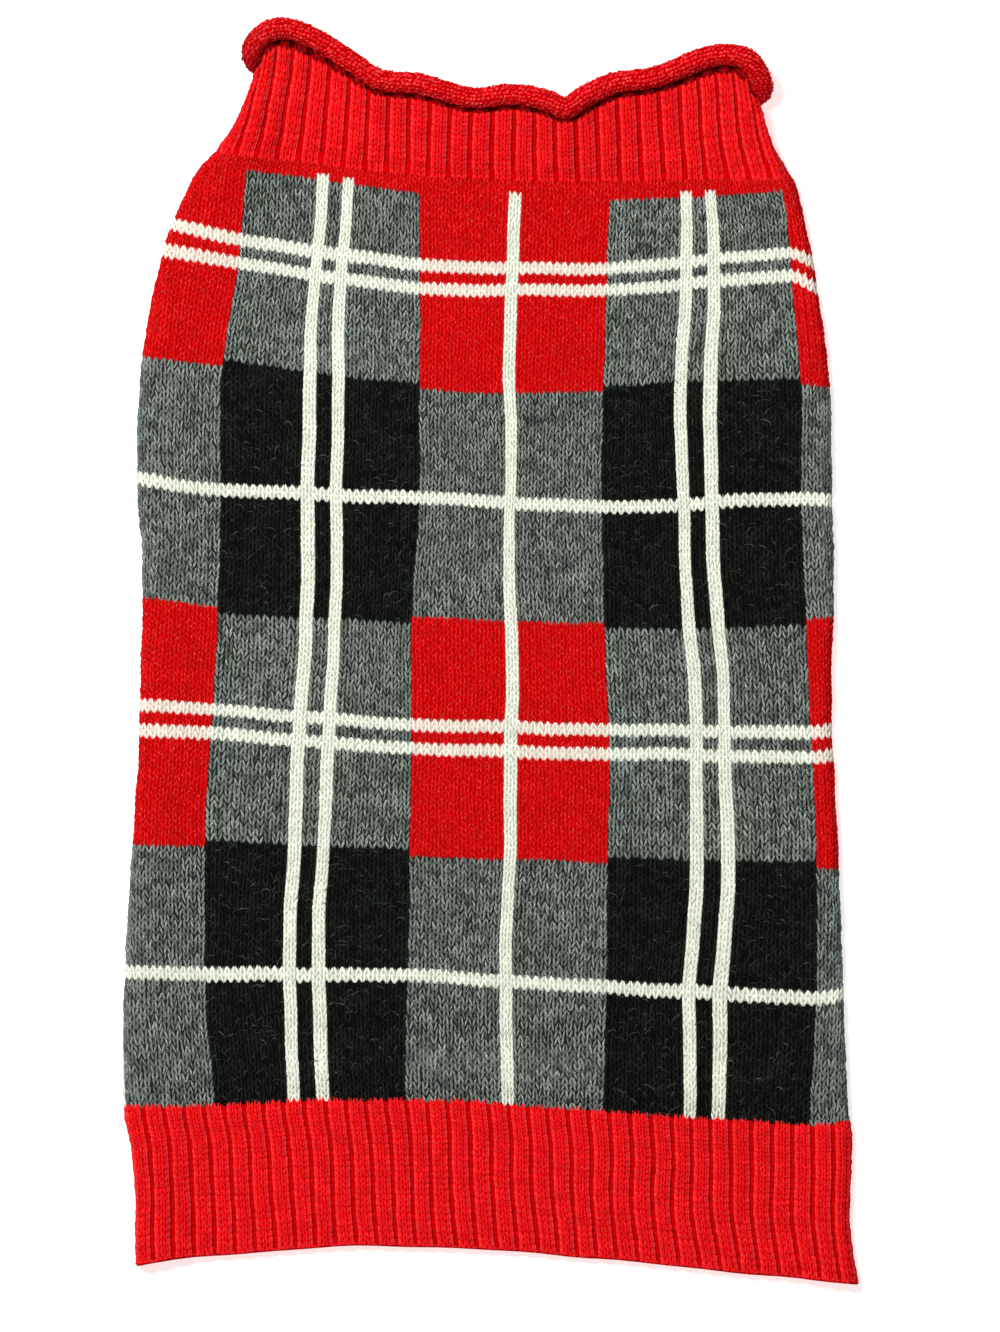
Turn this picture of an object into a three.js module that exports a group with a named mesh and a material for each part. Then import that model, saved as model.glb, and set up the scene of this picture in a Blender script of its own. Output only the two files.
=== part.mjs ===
// A knitted dog sweater that lies flat, its back panel up and its neck towards +Y.
// Lengths are in millimetres. The garment is a flattened tube. Its walls follow the lines of the
// knitting, from the hem's edge up to the rolled edge of the collar.
import * as THREE from "three";

// The cloth
const PLAIN_WALL = 2.0; // thickness of the plain knitting
const RIB_WALL = 1.8; // thickness of the ribbing in its grooves
const RIB_RISE = 1.2; // how far a rib stands above its grooves
const RIB_SHAPE = table(
  ["part", "height"],
  [
    [0, 0],
    [0.18, 0.9],
    [0.5, 1],
    [0.82, 0.9],
    [1, 0],
  ],
);
const AIR = 0.8; // between the two layers of the flat tube
const SEAM_GAP = 0.4; // along the knitting, between pieces that are sewn together
const COLUMN = 74; // width of one colour column of the back panel

// The two side folds, which stay springy and stand higher than the middle
const FOLD_DEEP = 4.2; // from a fold's outermost point to the top of its curve
const FOLD_HIGH = 7.8; // height of the laid garment at the top of that curve
const FOLD_RUNOUT = 26; // over which the top layer comes down to its flat height

// The ribbed bands and the rolled edge
const HEM_RIBS = 38; // round the top and both folds, as on the collar
const COLLAR_RIBS = 29;
const ROLL_RADIUS = 4.2;
const ROLL_FLAT = 0.2; // how much the lower roll is pressed flat where it rests
const ROLL_SEAT = 4.4; // from the middle of the roll to the edge of the ribbing
const RIB_SQUEEZE = 0.15; // the part of the width over which the collar's ribs crowd at its sides
const COLLAR_LIFT = 2 * ROLL_RADIUS - RIB_WALL - ROLL_FLAT;

// The leg holes in the belly panel
const LEG_HOLES = [
  { x: -60, y: 105, halfWide: 23, halfLong: 31 },
  { x: 38, y: 105, halfWide: 23, halfLong: 31 },
];

// How finely the solids are divided
const BODY_ROWS = 23;
const HEM_ROWS = 3;
const COLLAR_ROWS = 4;
const FOLD_STEPS = 7;
const WING_STEPS = 2; // from a fold to the back panel's edge on the underside
const RUNOUT_STEPS = 4;
const MIDDLE_STEPS = 11; // across the flat middle of the back panel
const UNDER_STEPS = 18; // along each half of a tube's underside
const ROLL_STEPS = 44; // across the top of the rolled edge
const ROLL_FOLD_STEPS = 13;
const ROLL_SIDES = 10;
const SEAT_STEPS = 16; // along the roll, where the rim under it is found
const PANEL_END_STEPS = 10; // across each end of the belly panel
const HOLE_STEPS = 28;
const GIRTH_ARC = 24; // points that a girth is first measured with, round a fold
const GIRTH_TOP = 120; // and across the top

// Lines across the laid garment. A course is one row of knitting, counted down from the top of the
// coloured squares. Each line is given at the left fold, at the edges between the five colour
// columns A to E, and at the right fold.
const BODY_TOP = -3;
const BODY_END = 149;
const HEM_END = 176;
const LINES = table(
  ["course", "leftX", "abX", "bcX", "cdX", "deX", "rightX", "leftY", "abY", "bcY", "cdY", "deY", "rightY"],
  [
    [-3, -103.8, -90.0, -26.1, 45.7, 110.8, 113.4, 189.0, 187.9, 180.3, 178.4, 179.9, 180.7],
    [0, -110.8, -91.9, -26.5, 45.4, 111.5, 116.2, 181.4, 182.4, 173.6, 170.9, 174.6, 176.1],
    [11, -119.8, -94.5, -26.5, 44.6, 113.4, 122.6, 161.8, 156.1, 146.7, 145.2, 150.8, 146.7],
    [15, -123.4, -95.3, -26.5, 44.2, 114.2, 124.3, 152.3, 147.4, 138.0, 137.2, 142.1, 137.2],
    [32, -132.0, -100.5, -26.8, 42.3, 117.2, 129.0, 111.9, 108.1, 99.4, 98.7, 101.7, 100.2],
    [51, -133.8, -101.7, -26.8, 42.3, 117.6, 130.0, 65.8, 61.6, 58.6, 55.2, 58.2, 57.5],
    [70, -131.5, -102.8, -29.1, 43.5, 118.7, 129.7, 20.8, 17.4, 13.6, 11.3, 12.5, 13.6],
    [90, -132.5, -105.3, -29.9, 45.0, 121.5, 129.7, -24.4, -26.0, -31.6, -33.6, -34.8, -34.0],
    [110, -135.7, -107.4, -30.6, 44.6, 123.6, 132.3, -72.6, -73.0, -76.7, -79.4, -81.6, -82.4],
    [130, -138.7, -107.4, -31.0, 43.8, 122.9, 134.2, -120.6, -121.3, -122.1, -126.3, -130.4, -128.9],
    [149, -138.0, -104.3, -31.8, 43.1, 120.6, 136.1, -172.0, -171.2, -169.0, -173.5, -178.8, -177.7],
    [158, -135.3, -104.0, -31.8, 43.1, 120.6, 136.1, -188.2, -186.5, -184.5, -189.0, -194.0, -194.3],
    [167, -133.8, -104.0, -31.8, 43.1, 120.6, 135.5, -209.0, -206.0, -203.5, -208.5, -213.0, -213.5],
    [176, -133.4, -104.0, -31.8, 43.1, 120.6, 139.1, -231.7, -228.0, -224.5, -229.5, -237.5, -238.9],
  ],
);
const KNOTS = ["left", "ab", "bc", "cd", "de", "right"];

// The collar's sides, from the seam at the body (0) to the rim under the roll (1)
const COLLAR_SIDES = table(
  ["up", "leftX", "rightX"],
  [
    [0, -103.8, 113.4],
    [0.35, -96.0, 107.4],
    [0.7, -90.6, 103.6],
    [1, -87.6, 100.6],
  ],
);

// The middle of the rolled edge. Across the top layer it dips, rises and has one sharp notch; on the
// underside it lies a little further back, and further still beside the folds, round which it sags.
const ROLL_LINE = table(
  ["x", "y", "underY"],
  [
    [-88, 231.0, 220.0],
    [-83, 234.6, 221.8],
    [-76, 235.2, 224.6],
    [-65.4, 230.6, 226.6],
    [-53.7, 223.6, 222.0],
    [-42, 216.6, 215.6],
    [-27.2, 214.8, 213.6],
    [-17, 211.9, 210.9],
    [-6, 209.0, 208.2],
    [9.5, 210.4, 209.2],
    [22, 208.4, 207.4],
    [29.1, 205.6, 205.0],
    [36, 209.6, 208.6],
    [47.3, 214.8, 213.4],
    [60.9, 217.0, 215.6],
    [72, 221.0, 218.6],
    [82, 224.8, 218.2],
    [91, 225.6, 213.4],
    [97, 223.6, 209.6],
    [101, 218.0, 207.0],
  ],
);

// Soft swells and hollows of the top layer. turn is in degrees from the X axis.
const SWELLS = table(
  ["x", "y", "halfLong", "halfWide", "rise", "turn"],
  [
    [-40, 112, 62, 15, 0.9, 8],
    [70, 30, 55, 13, 0.8, -14],
    [-92, -25, 60, 10, 0.8, 82],
    [113, 60, 85, 6, -0.4, 88],
    [20, -158, 95, 10, 1.0, -3],
    [-60, -96, 48, 12, 0.7, 12],
    [88, -95, 60, 9, 0.9, 76],
  ],
);

function table(names, rows) {
  return rows.map((row) => Object.fromEntries(names.map((name, i) => [name, row[i]])));
}

// A smooth curve through values at rising places, held level beyond both ends.
function curveThrough(places, values) {
  const last = places.length - 1;
  const slopes = values.map((_, i) => {
    const before = Math.max(i - 1, 0);
    const after = Math.min(i + 1, last);
    return (values[after] - values[before]) / (places[after] - places[before]);
  });
  return (place) => {
    const p = THREE.MathUtils.clamp(place, places[0], places[last]);
    const i = Math.min(places.findLastIndex((start) => start <= p), last - 1);
    const run = places[i + 1] - places[i];
    const t = (p - places[i]) / run;
    const left = values[i] * (1 + 2 * t) + slopes[i] * run * t;
    const right = values[i + 1] * (3 - 2 * t) - slopes[i + 1] * run * (1 - t);
    return left * (1 - t) ** 2 + right * t ** 2;
  };
}

function curveOf(rows, place, value) {
  return curveThrough(rows.map((row) => row[place]), rows.map((row) => row[value]));
}

const LINE_CURVES = Object.fromEntries(
  KNOTS.flatMap((knot) => [`${knot}X`, `${knot}Y`]).map((name) => [name, curveOf(LINES, "course", name)]),
);
const ROLL_Y = curveOf(ROLL_LINE, "x", "y");
const ROLL_UNDER_Y = curveOf(ROLL_LINE, "x", "underY");
const COLLAR_LEFT = curveOf(COLLAR_SIDES, "up", "leftX");
const COLLAR_RIGHT = curveOf(COLLAR_SIDES, "up", "rightX");

// One line of the body or the hem: where it starts and ends, and its y at any x.
function bodyLine(course, shiftY = 0) {
  const xs = KNOTS.map((knot) => LINE_CURVES[`${knot}X`](course));
  const ys = KNOTS.map((knot) => LINE_CURVES[`${knot}Y`](course) + shiftY);
  return { left: xs[0], ab: xs[1], de: xs[4], right: xs[5], y: curveThrough(xs, ys) };
}

// One line of the collar, from its seam (up = 0) to its rim (up = 1).
function collarLine(up) {
  const seam = bodyLine(BODY_TOP, SEAM_GAP / 2);
  const left = COLLAR_LEFT(up);
  const right = COLLAR_RIGHT(up);
  const y = (x, outX = 0, outZ = 1) => {
    const across = (x - left) / (right - left);
    const seamY = seam.y(THREE.MathUtils.lerp(seam.left, seam.right, across));
    const rimX = THREE.MathUtils.lerp(COLLAR_LEFT(1), COLLAR_RIGHT(1), across);
    return THREE.MathUtils.lerp(seamY, rimY(rimX, outX, outZ), up);
  };
  // Away from its sides the ribs go straight on from the seam, and at its sides they crowd together.
  const crowd = (part) => {
    const fromLeft = (left - seam.left) * (Math.exp(-part / RIB_SQUEEZE) - 1);
    const fromRight = (right - seam.right) * Math.exp((part - 1) / RIB_SQUEEZE);
    const place = (part * (seam.right - seam.left) + fromLeft + fromRight) / (right - left);
    return THREE.MathUtils.clamp(place, 0, 1);
  };
  return { left, right, y, crowd };
}

// The middle of the roll at x, where the tube's face looks up by outZ.
function rollY(x, outZ) {
  return THREE.MathUtils.lerp(ROLL_Y(x), ROLL_UNDER_Y(x), (1 - outZ) / 2);
}

// The ribbing ends at an even distance from the middle of the roll, also where the roll slants: as
// low as the lowest of the roll's round sections beside this place.
function rimY(x, outX, outZ) {
  const round = FOLD_DEEP + ROLL_RADIUS - RIB_WALL;
  const edges = spread(-ROLL_SEAT, ROLL_SEAT, SEAT_STEPS).map((step) => {
    const tipped = THREE.MathUtils.clamp(outZ - (step * outX) / round, -1, 1);
    return rollY(x + step * outZ, tipped) - Math.sqrt(Math.max(ROLL_SEAT ** 2 - step ** 2, 0));
  });
  return Math.min(...edges);
}

// How far the top layer is lifted or let down at a point by its swells and hollows.
function swell(x, y) {
  return SWELLS.reduce((sum, s) => {
    const turn = THREE.MathUtils.degToRad(s.turn);
    const along = (x - s.x) * Math.cos(turn) + (y - s.y) * Math.sin(turn);
    const aside = (y - s.y) * Math.cos(turn) - (x - s.x) * Math.sin(turn);
    return sum + s.rise * Math.exp(-((along / s.halfLong) ** 2) - (aside / s.halfWide) ** 2);
  }, 0);
}

// The plain outer face of the flat tube across one line. It runs from the middle of the underside
// round the left fold, over the top and round the right fold, and is read by length along it.
function girth(line, wall) {
  const flatTop = 2 * wall + AIR;
  const foldMid = FOLD_HIGH / 2;
  const from = line.left + FOLD_DEEP;
  const to = line.right - FOLD_DEEP;
  const middle = (from + to) / 2;
  const arc = (side) => {
    const points = [];
    for (let i = 0; i <= GIRTH_ARC; i++) {
      const angle = (i / GIRTH_ARC - 0.5) * Math.PI;
      const out = new THREE.Vector2(-Math.cos(angle) / FOLD_DEEP, Math.sin(angle) / foldMid).normalize();
      const x = (side < 0 ? from : -to) - FOLD_DEEP * Math.cos(angle);
      const z = foldMid * (1 + Math.sin(angle));
      points.push({ x: side < 0 ? x : -x, z, outX: side < 0 ? out.x : -out.x, outZ: out.y });
    }
    return side < 0 ? points : points.reverse();
  };
  const topZ = (x) => {
    const near = Math.min(x - from, to - x);
    const ease = near < FOLD_RUNOUT ? 0.5 + 0.5 * Math.cos((Math.PI * near) / FOLD_RUNOUT) : 0;
    return flatTop + (FOLD_HIGH - flatTop) * ease + (1 - ease) * swell(x, line.y(x));
  };
  const top = [];
  for (let i = 1; i < GIRTH_TOP; i++) {
    const x = THREE.MathUtils.lerp(from, to, i / GIRTH_TOP);
    const out = new THREE.Vector2(topZ(x - 0.5) - topZ(x + 0.5), 1).normalize();
    top.push({ x, z: topZ(x), outX: out.x, outZ: out.y });
  }
  const under = { x: middle, z: 0, outX: 0, outZ: -1 };
  const points = [under, ...arc(-1), ...top, ...arc(1), { ...under }];
  const run = [0];
  for (let i = 1; i < points.length; i++) {
    run.push(run[i - 1] + Math.hypot(points[i].x - points[i - 1].x, points[i].z - points[i - 1].z));
  }
  const at = (s) => {
    const i = Math.min(Math.max(run.findLastIndex((r) => r <= s), 0), points.length - 2);
    const t = THREE.MathUtils.clamp((s - run[i]) / (run[i + 1] - run[i]), 0, 1);
    const mix = (name) => THREE.MathUtils.lerp(points[i][name], points[i + 1][name], t);
    const out = new THREE.Vector2(mix("outX"), mix("outZ")).normalize();
    return { x: mix("x"), z: mix("z"), outX: out.x, outZ: out.y };
  };
  const topAt = (x) => {
    const i = GIRTH_ARC + 2 + top.findLastIndex((point) => point.x <= x);
    return THREE.MathUtils.mapLinear(x, points[i].x, points[i + 1].x, run[i], run[i + 1]);
  };
  const leftFold = [run[1], run[GIRTH_ARC + 1]];
  const rightFold = [run[points.length - 2 - GIRTH_ARC], run[points.length - 2]];
  return { at, topAt, leftFold, rightFold, length: run[run.length - 1] };
}

// A wall of cloth between a grid of outer points and a grid of inner points, as one closed solid.
// round says that the grid's columns go all the way round a tube.
function wallSolid(outer, inner, round) {
  const rows = outer.length;
  const columns = outer[0].length;
  const positions = [...outer.flat(), ...inner.flat()].flatMap((p) => [p.x, p.y, p.z]);
  const index = [];
  const quad = (a, b, c, d) => index.push(a, c, b, a, d, c);
  const out = (r, c) => r * columns + (c % columns);
  const inn = (r, c) => rows * columns + out(r, c);
  const spans = round ? columns : columns - 1;
  for (let r = 0; r < rows - 1; r++) {
    for (let c = 0; c < spans; c++) {
      quad(out(r, c), out(r, c + 1), out(r + 1, c + 1), out(r + 1, c));
      quad(inn(r, c), inn(r + 1, c), inn(r + 1, c + 1), inn(r, c + 1));
    }
    if (!round) {
      quad(out(r, 0), out(r + 1, 0), inn(r + 1, 0), inn(r, 0));
      quad(out(r + 1, spans), out(r, spans), inn(r, spans), inn(r + 1, spans));
    }
  }
  for (let c = 0; c < spans; c++) {
    quad(out(0, c + 1), out(0, c), inn(0, c), inn(0, c + 1));
    quad(out(rows - 1, c), out(rows - 1, c + 1), inn(rows - 1, c + 1), inn(rows - 1, c));
  }
  return solid(positions, index);
}

function solid(positions, index) {
  const geometry = new THREE.BufferGeometry();
  geometry.setAttribute("position", new THREE.Float32BufferAttribute(positions, 3));
  geometry.setIndex(index);
  geometry.computeVertexNormals();
  return geometry;
}

function spread(from, to, steps) {
  return Array.from({ length: steps + 1 }, (_, i) => THREE.MathUtils.lerp(from, to, i / steps));
}

// Two rows of the wall's points across one line, at lengths along the girth. heights are those of
// the ribs at these lengths, and lift raises the whole line.
function wallRow(line, track, lengths, wall, { heights = [], lift = 0 } = {}) {
  const outer = [];
  const inner = [];
  lengths.forEach((s, i) => {
    const p = track.at(s);
    const y = line.y(p.x, p.outX, p.outZ);
    const high = heights[i] ?? 0;
    outer.push(new THREE.Vector3(p.x + p.outX * high, y, p.z + p.outZ * high + lift));
    inner.push(new THREE.Vector3(p.x - p.outX * wall, y, p.z - p.outZ * wall + lift));
  });
  return { outer, inner };
}

// The back panel ends one colour column away from the edges A|B and D|E, round the folds.
function panelEnds(line, track) {
  return [track.topAt(line.ab) - COLUMN, track.topAt(Math.min(line.de, line.right - FOLD_DEEP)) + COLUMN];
}

function panelLengths(line, track) {
  const [start, end] = panelEnds(line, track);
  const [leftUnder, leftTop] = track.leftFold;
  const [rightTop, rightUnder] = track.rightFold;
  return [
    ...spread(start, leftUnder, WING_STEPS).slice(0, -1),
    ...spread(leftUnder, leftTop, FOLD_STEPS).slice(0, -1),
    ...spread(leftTop, leftTop + FOLD_RUNOUT, RUNOUT_STEPS).slice(0, -1),
    ...spread(leftTop + FOLD_RUNOUT, rightTop - FOLD_RUNOUT, MIDDLE_STEPS).slice(0, -1),
    ...spread(rightTop - FOLD_RUNOUT, rightTop, RUNOUT_STEPS).slice(0, -1),
    ...spread(rightTop, rightUnder, FOLD_STEPS).slice(0, -1),
    ...spread(rightUnder, end, WING_STEPS),
  ];
}

function bodyLines() {
  return spread(BODY_TOP, BODY_END, BODY_ROWS).map((course, i) => {
    const shift = i === 0 ? -SEAM_GAP / 2 : i === BODY_ROWS ? SEAM_GAP / 2 : 0;
    return bodyLine(course, shift);
  });
}

function backPanel() {
  const rows = bodyLines().map((line) => {
    const track = girth(line, PLAIN_WALL);
    return wallRow(line, track, panelLengths(line, track), PLAIN_WALL);
  });
  return wallSolid(rows.map((row) => row.outer), rows.map((row) => row.inner), false);
}

// The belly panel lies flat between the back panel's two edges, with an oval hole for each leg.
function bellyPanel() {
  const edges = bodyLines().map((line) => {
    const track = girth(line, PLAIN_WALL);
    const [start, end] = panelEnds(line, track).map((s) => track.at(s).x);
    return { line, left: start + SEAM_GAP, right: end - SEAM_GAP };
  });
  const pointOn = (edge, x) => new THREE.Vector2(x, edge.line.y(x));
  const first = edges[0];
  const last = edges[edges.length - 1];
  const outline = [
    ...edges.map((edge) => pointOn(edge, edge.left)),
    ...spread(last.left, last.right, PANEL_END_STEPS).slice(1).map((x) => pointOn(last, x)),
    ...edges.toReversed().slice(1).map((edge) => pointOn(edge, edge.right)),
    ...spread(first.right, first.left, PANEL_END_STEPS).slice(1, -1).map((x) => pointOn(first, x)),
  ];
  const shape = new THREE.Shape(outline);
  for (const hole of LEG_HOLES) {
    const oval = new THREE.Path();
    oval.absellipse(hole.x, hole.y, hole.halfWide, hole.halfLong, 0, 2 * Math.PI);
    shape.holes.push(oval);
  }
  const flat = { depth: PLAIN_WALL, bevelEnabled: false, curveSegments: HOLE_STEPS };
  return new THREE.ExtrudeGeometry(shape, flat);
}

// Two knitted wales stand up as one rib, with a narrow groove of two sunken wales beside it. crowd
// moves a place round the tube, given as a part from fold to fold.
function ribbing(track, ribs, crowd = (part) => part) {
  const start = track.leftFold[0];
  const end = track.rightFold[1];
  const shape = curveOf(RIB_SHAPE, "part", "height");
  const places = [];
  for (let rib = 0; rib < ribs; rib++) {
    for (const { part } of RIB_SHAPE.slice(0, -1)) {
      const s = THREE.MathUtils.lerp(start, end, crowd((rib + part) / ribs));
      const above = THREE.MathUtils.smoothstep(track.at(s).z, 0.5, 3);
      places.push({ s, high: s > start ? RIB_RISE * above * shape(part) : 0 });
    }
  }
  const flat = (s) => ({ s, high: 0 });
  return [
    ...spread(0, start, UNDER_STEPS).slice(0, -1).map(flat),
    ...places,
    ...spread(end, track.length, UNDER_STEPS).slice(0, -1).map(flat),
  ];
}

function ribbedTube(lines, ribs, lifts) {
  const rows = lines.map((line, i) => {
    const track = girth(line, RIB_WALL);
    const found = ribbing(track, ribs, line.crowd);
    const heights = found.map(({ high }) => high);
    return wallRow(line, track, found.map(({ s }) => s), RIB_WALL, { heights, lift: lifts[i] });
  });
  return wallSolid(rows.map((row) => row.outer), rows.map((row) => row.inner), true);
}

function hemBand() {
  const lines = spread(BODY_END, HEM_END, HEM_ROWS).map((course, i) => {
    return bodyLine(course, i === 0 ? -SEAM_GAP / 2 : 0);
  });
  return ribbedTube(lines, HEM_RIBS, lines.map(() => 0));
}

// The collar climbs over its own rolled edge, which lies under it.
function collar() {
  const ups = spread(1, 0, COLLAR_ROWS);
  return ribbedTube(ups.map(collarLine), COLLAR_RIBS, ups.map((up) => COLLAR_LIFT * up));
}

// The rolled edge: a round tube that goes all round the rim, outside the ribbing.
function collarRoll() {
  const line = collarLine(1);
  const track = girth(line, RIB_WALL);
  const [leftUnder, leftTop] = track.leftFold;
  const [rightTop, rightUnder] = track.rightFold;
  const lengths = [
    ...spread(0, leftUnder, UNDER_STEPS).slice(0, -1),
    ...spread(leftUnder, leftTop, ROLL_FOLD_STEPS).slice(0, -1),
    ...spread(leftTop, rightTop, ROLL_STEPS).slice(0, -1),
    ...spread(rightTop, rightUnder, ROLL_FOLD_STEPS).slice(0, -1),
    ...spread(rightUnder, track.length, UNDER_STEPS).slice(0, -1),
  ];
  const centre = (s) => {
    const p = track.at((s + track.length) % track.length);
    const far = ROLL_RADIUS - RIB_WALL;
    const x = p.x + p.outX * far;
    return {
      place: new THREE.Vector3(x, rollY(p.x, p.outZ), p.z + p.outZ * far + COLLAR_LIFT),
      out: new THREE.Vector3(p.outX, 0, p.outZ),
    };
  };
  const positions = [];
  for (const s of lengths) {
    const { place, out } = centre(s);
    const along = centre(s + 1).place.sub(centre(s - 1).place).normalize();
    const aside = new THREE.Vector3().crossVectors(along, out).normalize();
    const up = new THREE.Vector3().crossVectors(aside, along);
    for (let side = 0; side < ROLL_SIDES; side++) {
      const angle = ((side + 0.5) / ROLL_SIDES) * 2 * Math.PI;
      const point = place.clone();
      point.addScaledVector(up, ROLL_RADIUS * Math.cos(angle));
      point.addScaledVector(aside, ROLL_RADIUS * Math.sin(angle));
      positions.push(point.x, point.y, Math.max(point.z, 0));
    }
  }
  const index = [];
  for (let r = 0; r < lengths.length; r++) {
    for (let side = 0; side < ROLL_SIDES; side++) {
      const next = (r + 1) % lengths.length;
      const beside = (side + 1) % ROLL_SIDES;
      const [a, b] = [r * ROLL_SIDES + side, r * ROLL_SIDES + beside];
      const [c, d] = [next * ROLL_SIDES + beside, next * ROLL_SIDES + side];
      index.push(a, b, c, a, c, d);
    }
  }
  return solid(positions, index);
}

function knitted(name, geometry, colour) {
  const yarn = new THREE.MeshStandardMaterial({ color: colour, roughness: 0.95, metalness: 0 });
  const mesh = new THREE.Mesh(geometry, yarn);
  mesh.name = name;
  return mesh;
}

const RED = 0xd3070f;
const GREY = 0x5f6964;

const sweater = new THREE.Group();
sweater.add(knitted("back_panel", backPanel(), GREY));
sweater.add(knitted("belly_panel", bellyPanel(), RED));
sweater.add(knitted("hem_band", hemBand(), RED));
sweater.add(knitted("collar", collar(), RED));
sweater.add(knitted("collar_roll", collarRoll(), RED));

// The origin is under the middle of the whole garment, on the surface that it lies on.
const box = new THREE.Box3().setFromObject(sweater);
const middle = box.getCenter(new THREE.Vector3());
sweater.position.set(-middle.x, -middle.y, -box.min.z);

export default sweater;
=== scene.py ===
# %% [markdown]
# # A knitted dog sweater, laid flat
# The sweater is a flat tube of knitting: a back panel in red, grey and black squares with white
# lines, a plain belly panel under it, a ribbed hem and a ribbed collar whose edge rolls outwards.
# Every stitch is made as short legs or bumps of yarn, so the squares, the ribs and the jagged edges
# of the lines come out of the stitches themselves and not out of a picture.

# %% The frame that everything is built in
import math

import bmesh
import bpy
import numpy as np
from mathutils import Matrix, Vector


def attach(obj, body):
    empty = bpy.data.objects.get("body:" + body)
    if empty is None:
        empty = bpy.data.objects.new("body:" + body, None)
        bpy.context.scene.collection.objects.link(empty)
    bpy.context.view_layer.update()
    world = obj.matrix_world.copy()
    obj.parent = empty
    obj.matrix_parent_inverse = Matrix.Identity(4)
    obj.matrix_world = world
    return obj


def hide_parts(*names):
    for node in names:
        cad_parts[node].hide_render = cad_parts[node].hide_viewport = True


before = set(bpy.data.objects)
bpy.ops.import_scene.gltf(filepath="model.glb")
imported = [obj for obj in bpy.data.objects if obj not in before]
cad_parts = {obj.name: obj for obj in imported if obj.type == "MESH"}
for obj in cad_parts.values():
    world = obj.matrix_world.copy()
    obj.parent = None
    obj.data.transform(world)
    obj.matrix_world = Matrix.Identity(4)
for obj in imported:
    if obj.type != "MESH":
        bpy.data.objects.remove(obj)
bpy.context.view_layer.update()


# %% [markdown]
# ## The sizes
# Lengths in these tables are millimetres, as a knitter would measure them. The origin of the frame
# lies under the middle of the garment's box, a little off the middle of the tables.

# %% Sizes of the cloth, in millimetres
MM = 0.001
TABLE_MIDDLE = (0.55, 0.35)
PLAIN_WALL, RIB_WALL, RIB_RISE = 2.0, 1.8, 1.2
AIR, SEAM_GAP = 0.8, 0.4
FOLD_DEEP, FOLD_HIGH, FOLD_RUNOUT = 4.2, 7.8, 26.0
ROLL_RADIUS, ROLL_FLAT, ROLL_SEAT, SEAT_STEPS = 4.2, 0.2, 4.4, 16
RIB_SQUEEZE = 0.15
COLLAR_LIFT = 2 * ROLL_RADIUS - RIB_WALL - ROLL_FLAT
HEM_RIBS, COLLAR_RIBS = 38, 29
# x, y, half width, half length
LEG_HOLES = [(-60.0, 105.0, 23.0, 31.0), (38.0, 105.0, 23.0, 31.0)]
COLUMN_WALES, COLUMN = 26, 74.0  # one colour column of the back panel
YARN_DEEP = 0.75  # the stitches fill this much of the wall, counted from its outer face

# %% [markdown]
# ## The lines of the knitting
# A course is one row of stitches and a wale is one column of them. These lines run across the
# garment along the courses, so the same table gives the outline, the slant of the white lines and
# the size of every stitch.

# %% Tables of the lines across, the collar's sides, its roll and the soft swells
# course, then x at these six places across, then y there; A to E are the columns of squares
KNOTS = ("left side", "A to B", "B to C", "C to D", "D to E", "right side")
LINES = np.array([
    [-3, -103.8, -90.0, -26.1, 45.7, 110.8, 113.4, 189.0, 187.9, 180.3, 178.4, 179.9, 180.7],
    [0, -110.8, -91.9, -26.5, 45.4, 111.5, 116.2, 181.4, 182.4, 173.6, 170.9, 174.6, 176.1],
    [11, -119.8, -94.5, -26.5, 44.6, 113.4, 122.6, 161.8, 156.1, 146.7, 145.2, 150.8, 146.7],
    [15, -123.4, -95.3, -26.5, 44.2, 114.2, 124.3, 152.3, 147.4, 138.0, 137.2, 142.1, 137.2],
    [32, -132.0, -100.5, -26.8, 42.3, 117.2, 129.0, 111.9, 108.1, 99.4, 98.7, 101.7, 100.2],
    [51, -133.8, -101.7, -26.8, 42.3, 117.6, 130.0, 65.8, 61.6, 58.6, 55.2, 58.2, 57.5],
    [70, -131.5, -102.8, -29.1, 43.5, 118.7, 129.7, 20.8, 17.4, 13.6, 11.3, 12.5, 13.6],
    [90, -132.5, -105.3, -29.9, 45.0, 121.5, 129.7, -24.4, -26.0, -31.6, -33.6, -34.8, -34.0],
    [110, -135.7, -107.4, -30.6, 44.6, 123.6, 132.3, -72.6, -73.0, -76.7, -79.4, -81.6, -82.4],
    [130, -138.7, -107.4, -31.0, 43.8, 122.9, 134.2, -120.6, -121.3, -122.1, -126.3, -130.4, -128.9],
    [149, -138.0, -104.3, -31.8, 43.1, 120.6, 136.1, -172.0, -171.2, -169.0, -173.5, -178.8, -177.7],
    [158, -135.3, -104.0, -31.8, 43.1, 120.6, 136.1, -188.2, -186.5, -184.5, -189.0, -194.0, -194.3],
    [167, -133.8, -104.0, -31.8, 43.1, 120.6, 135.5, -209.0, -206.0, -203.5, -208.5, -213.0, -213.5],
    [176, -133.4, -104.0, -31.8, 43.1, 120.6, 139.1, -231.7, -228.0, -224.5, -229.5, -237.5, -238.9],
])
BODY_TOP, BODY_END, HEM_END = -3, 149, 176
# part of the way up, then the left and the right side
COLLAR_SIDES = np.array([
    [0, -103.8, 113.4], [0.35, -96.0, 107.4], [0.7, -90.6, 103.6], [1, -87.6, 100.6],
])
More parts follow.
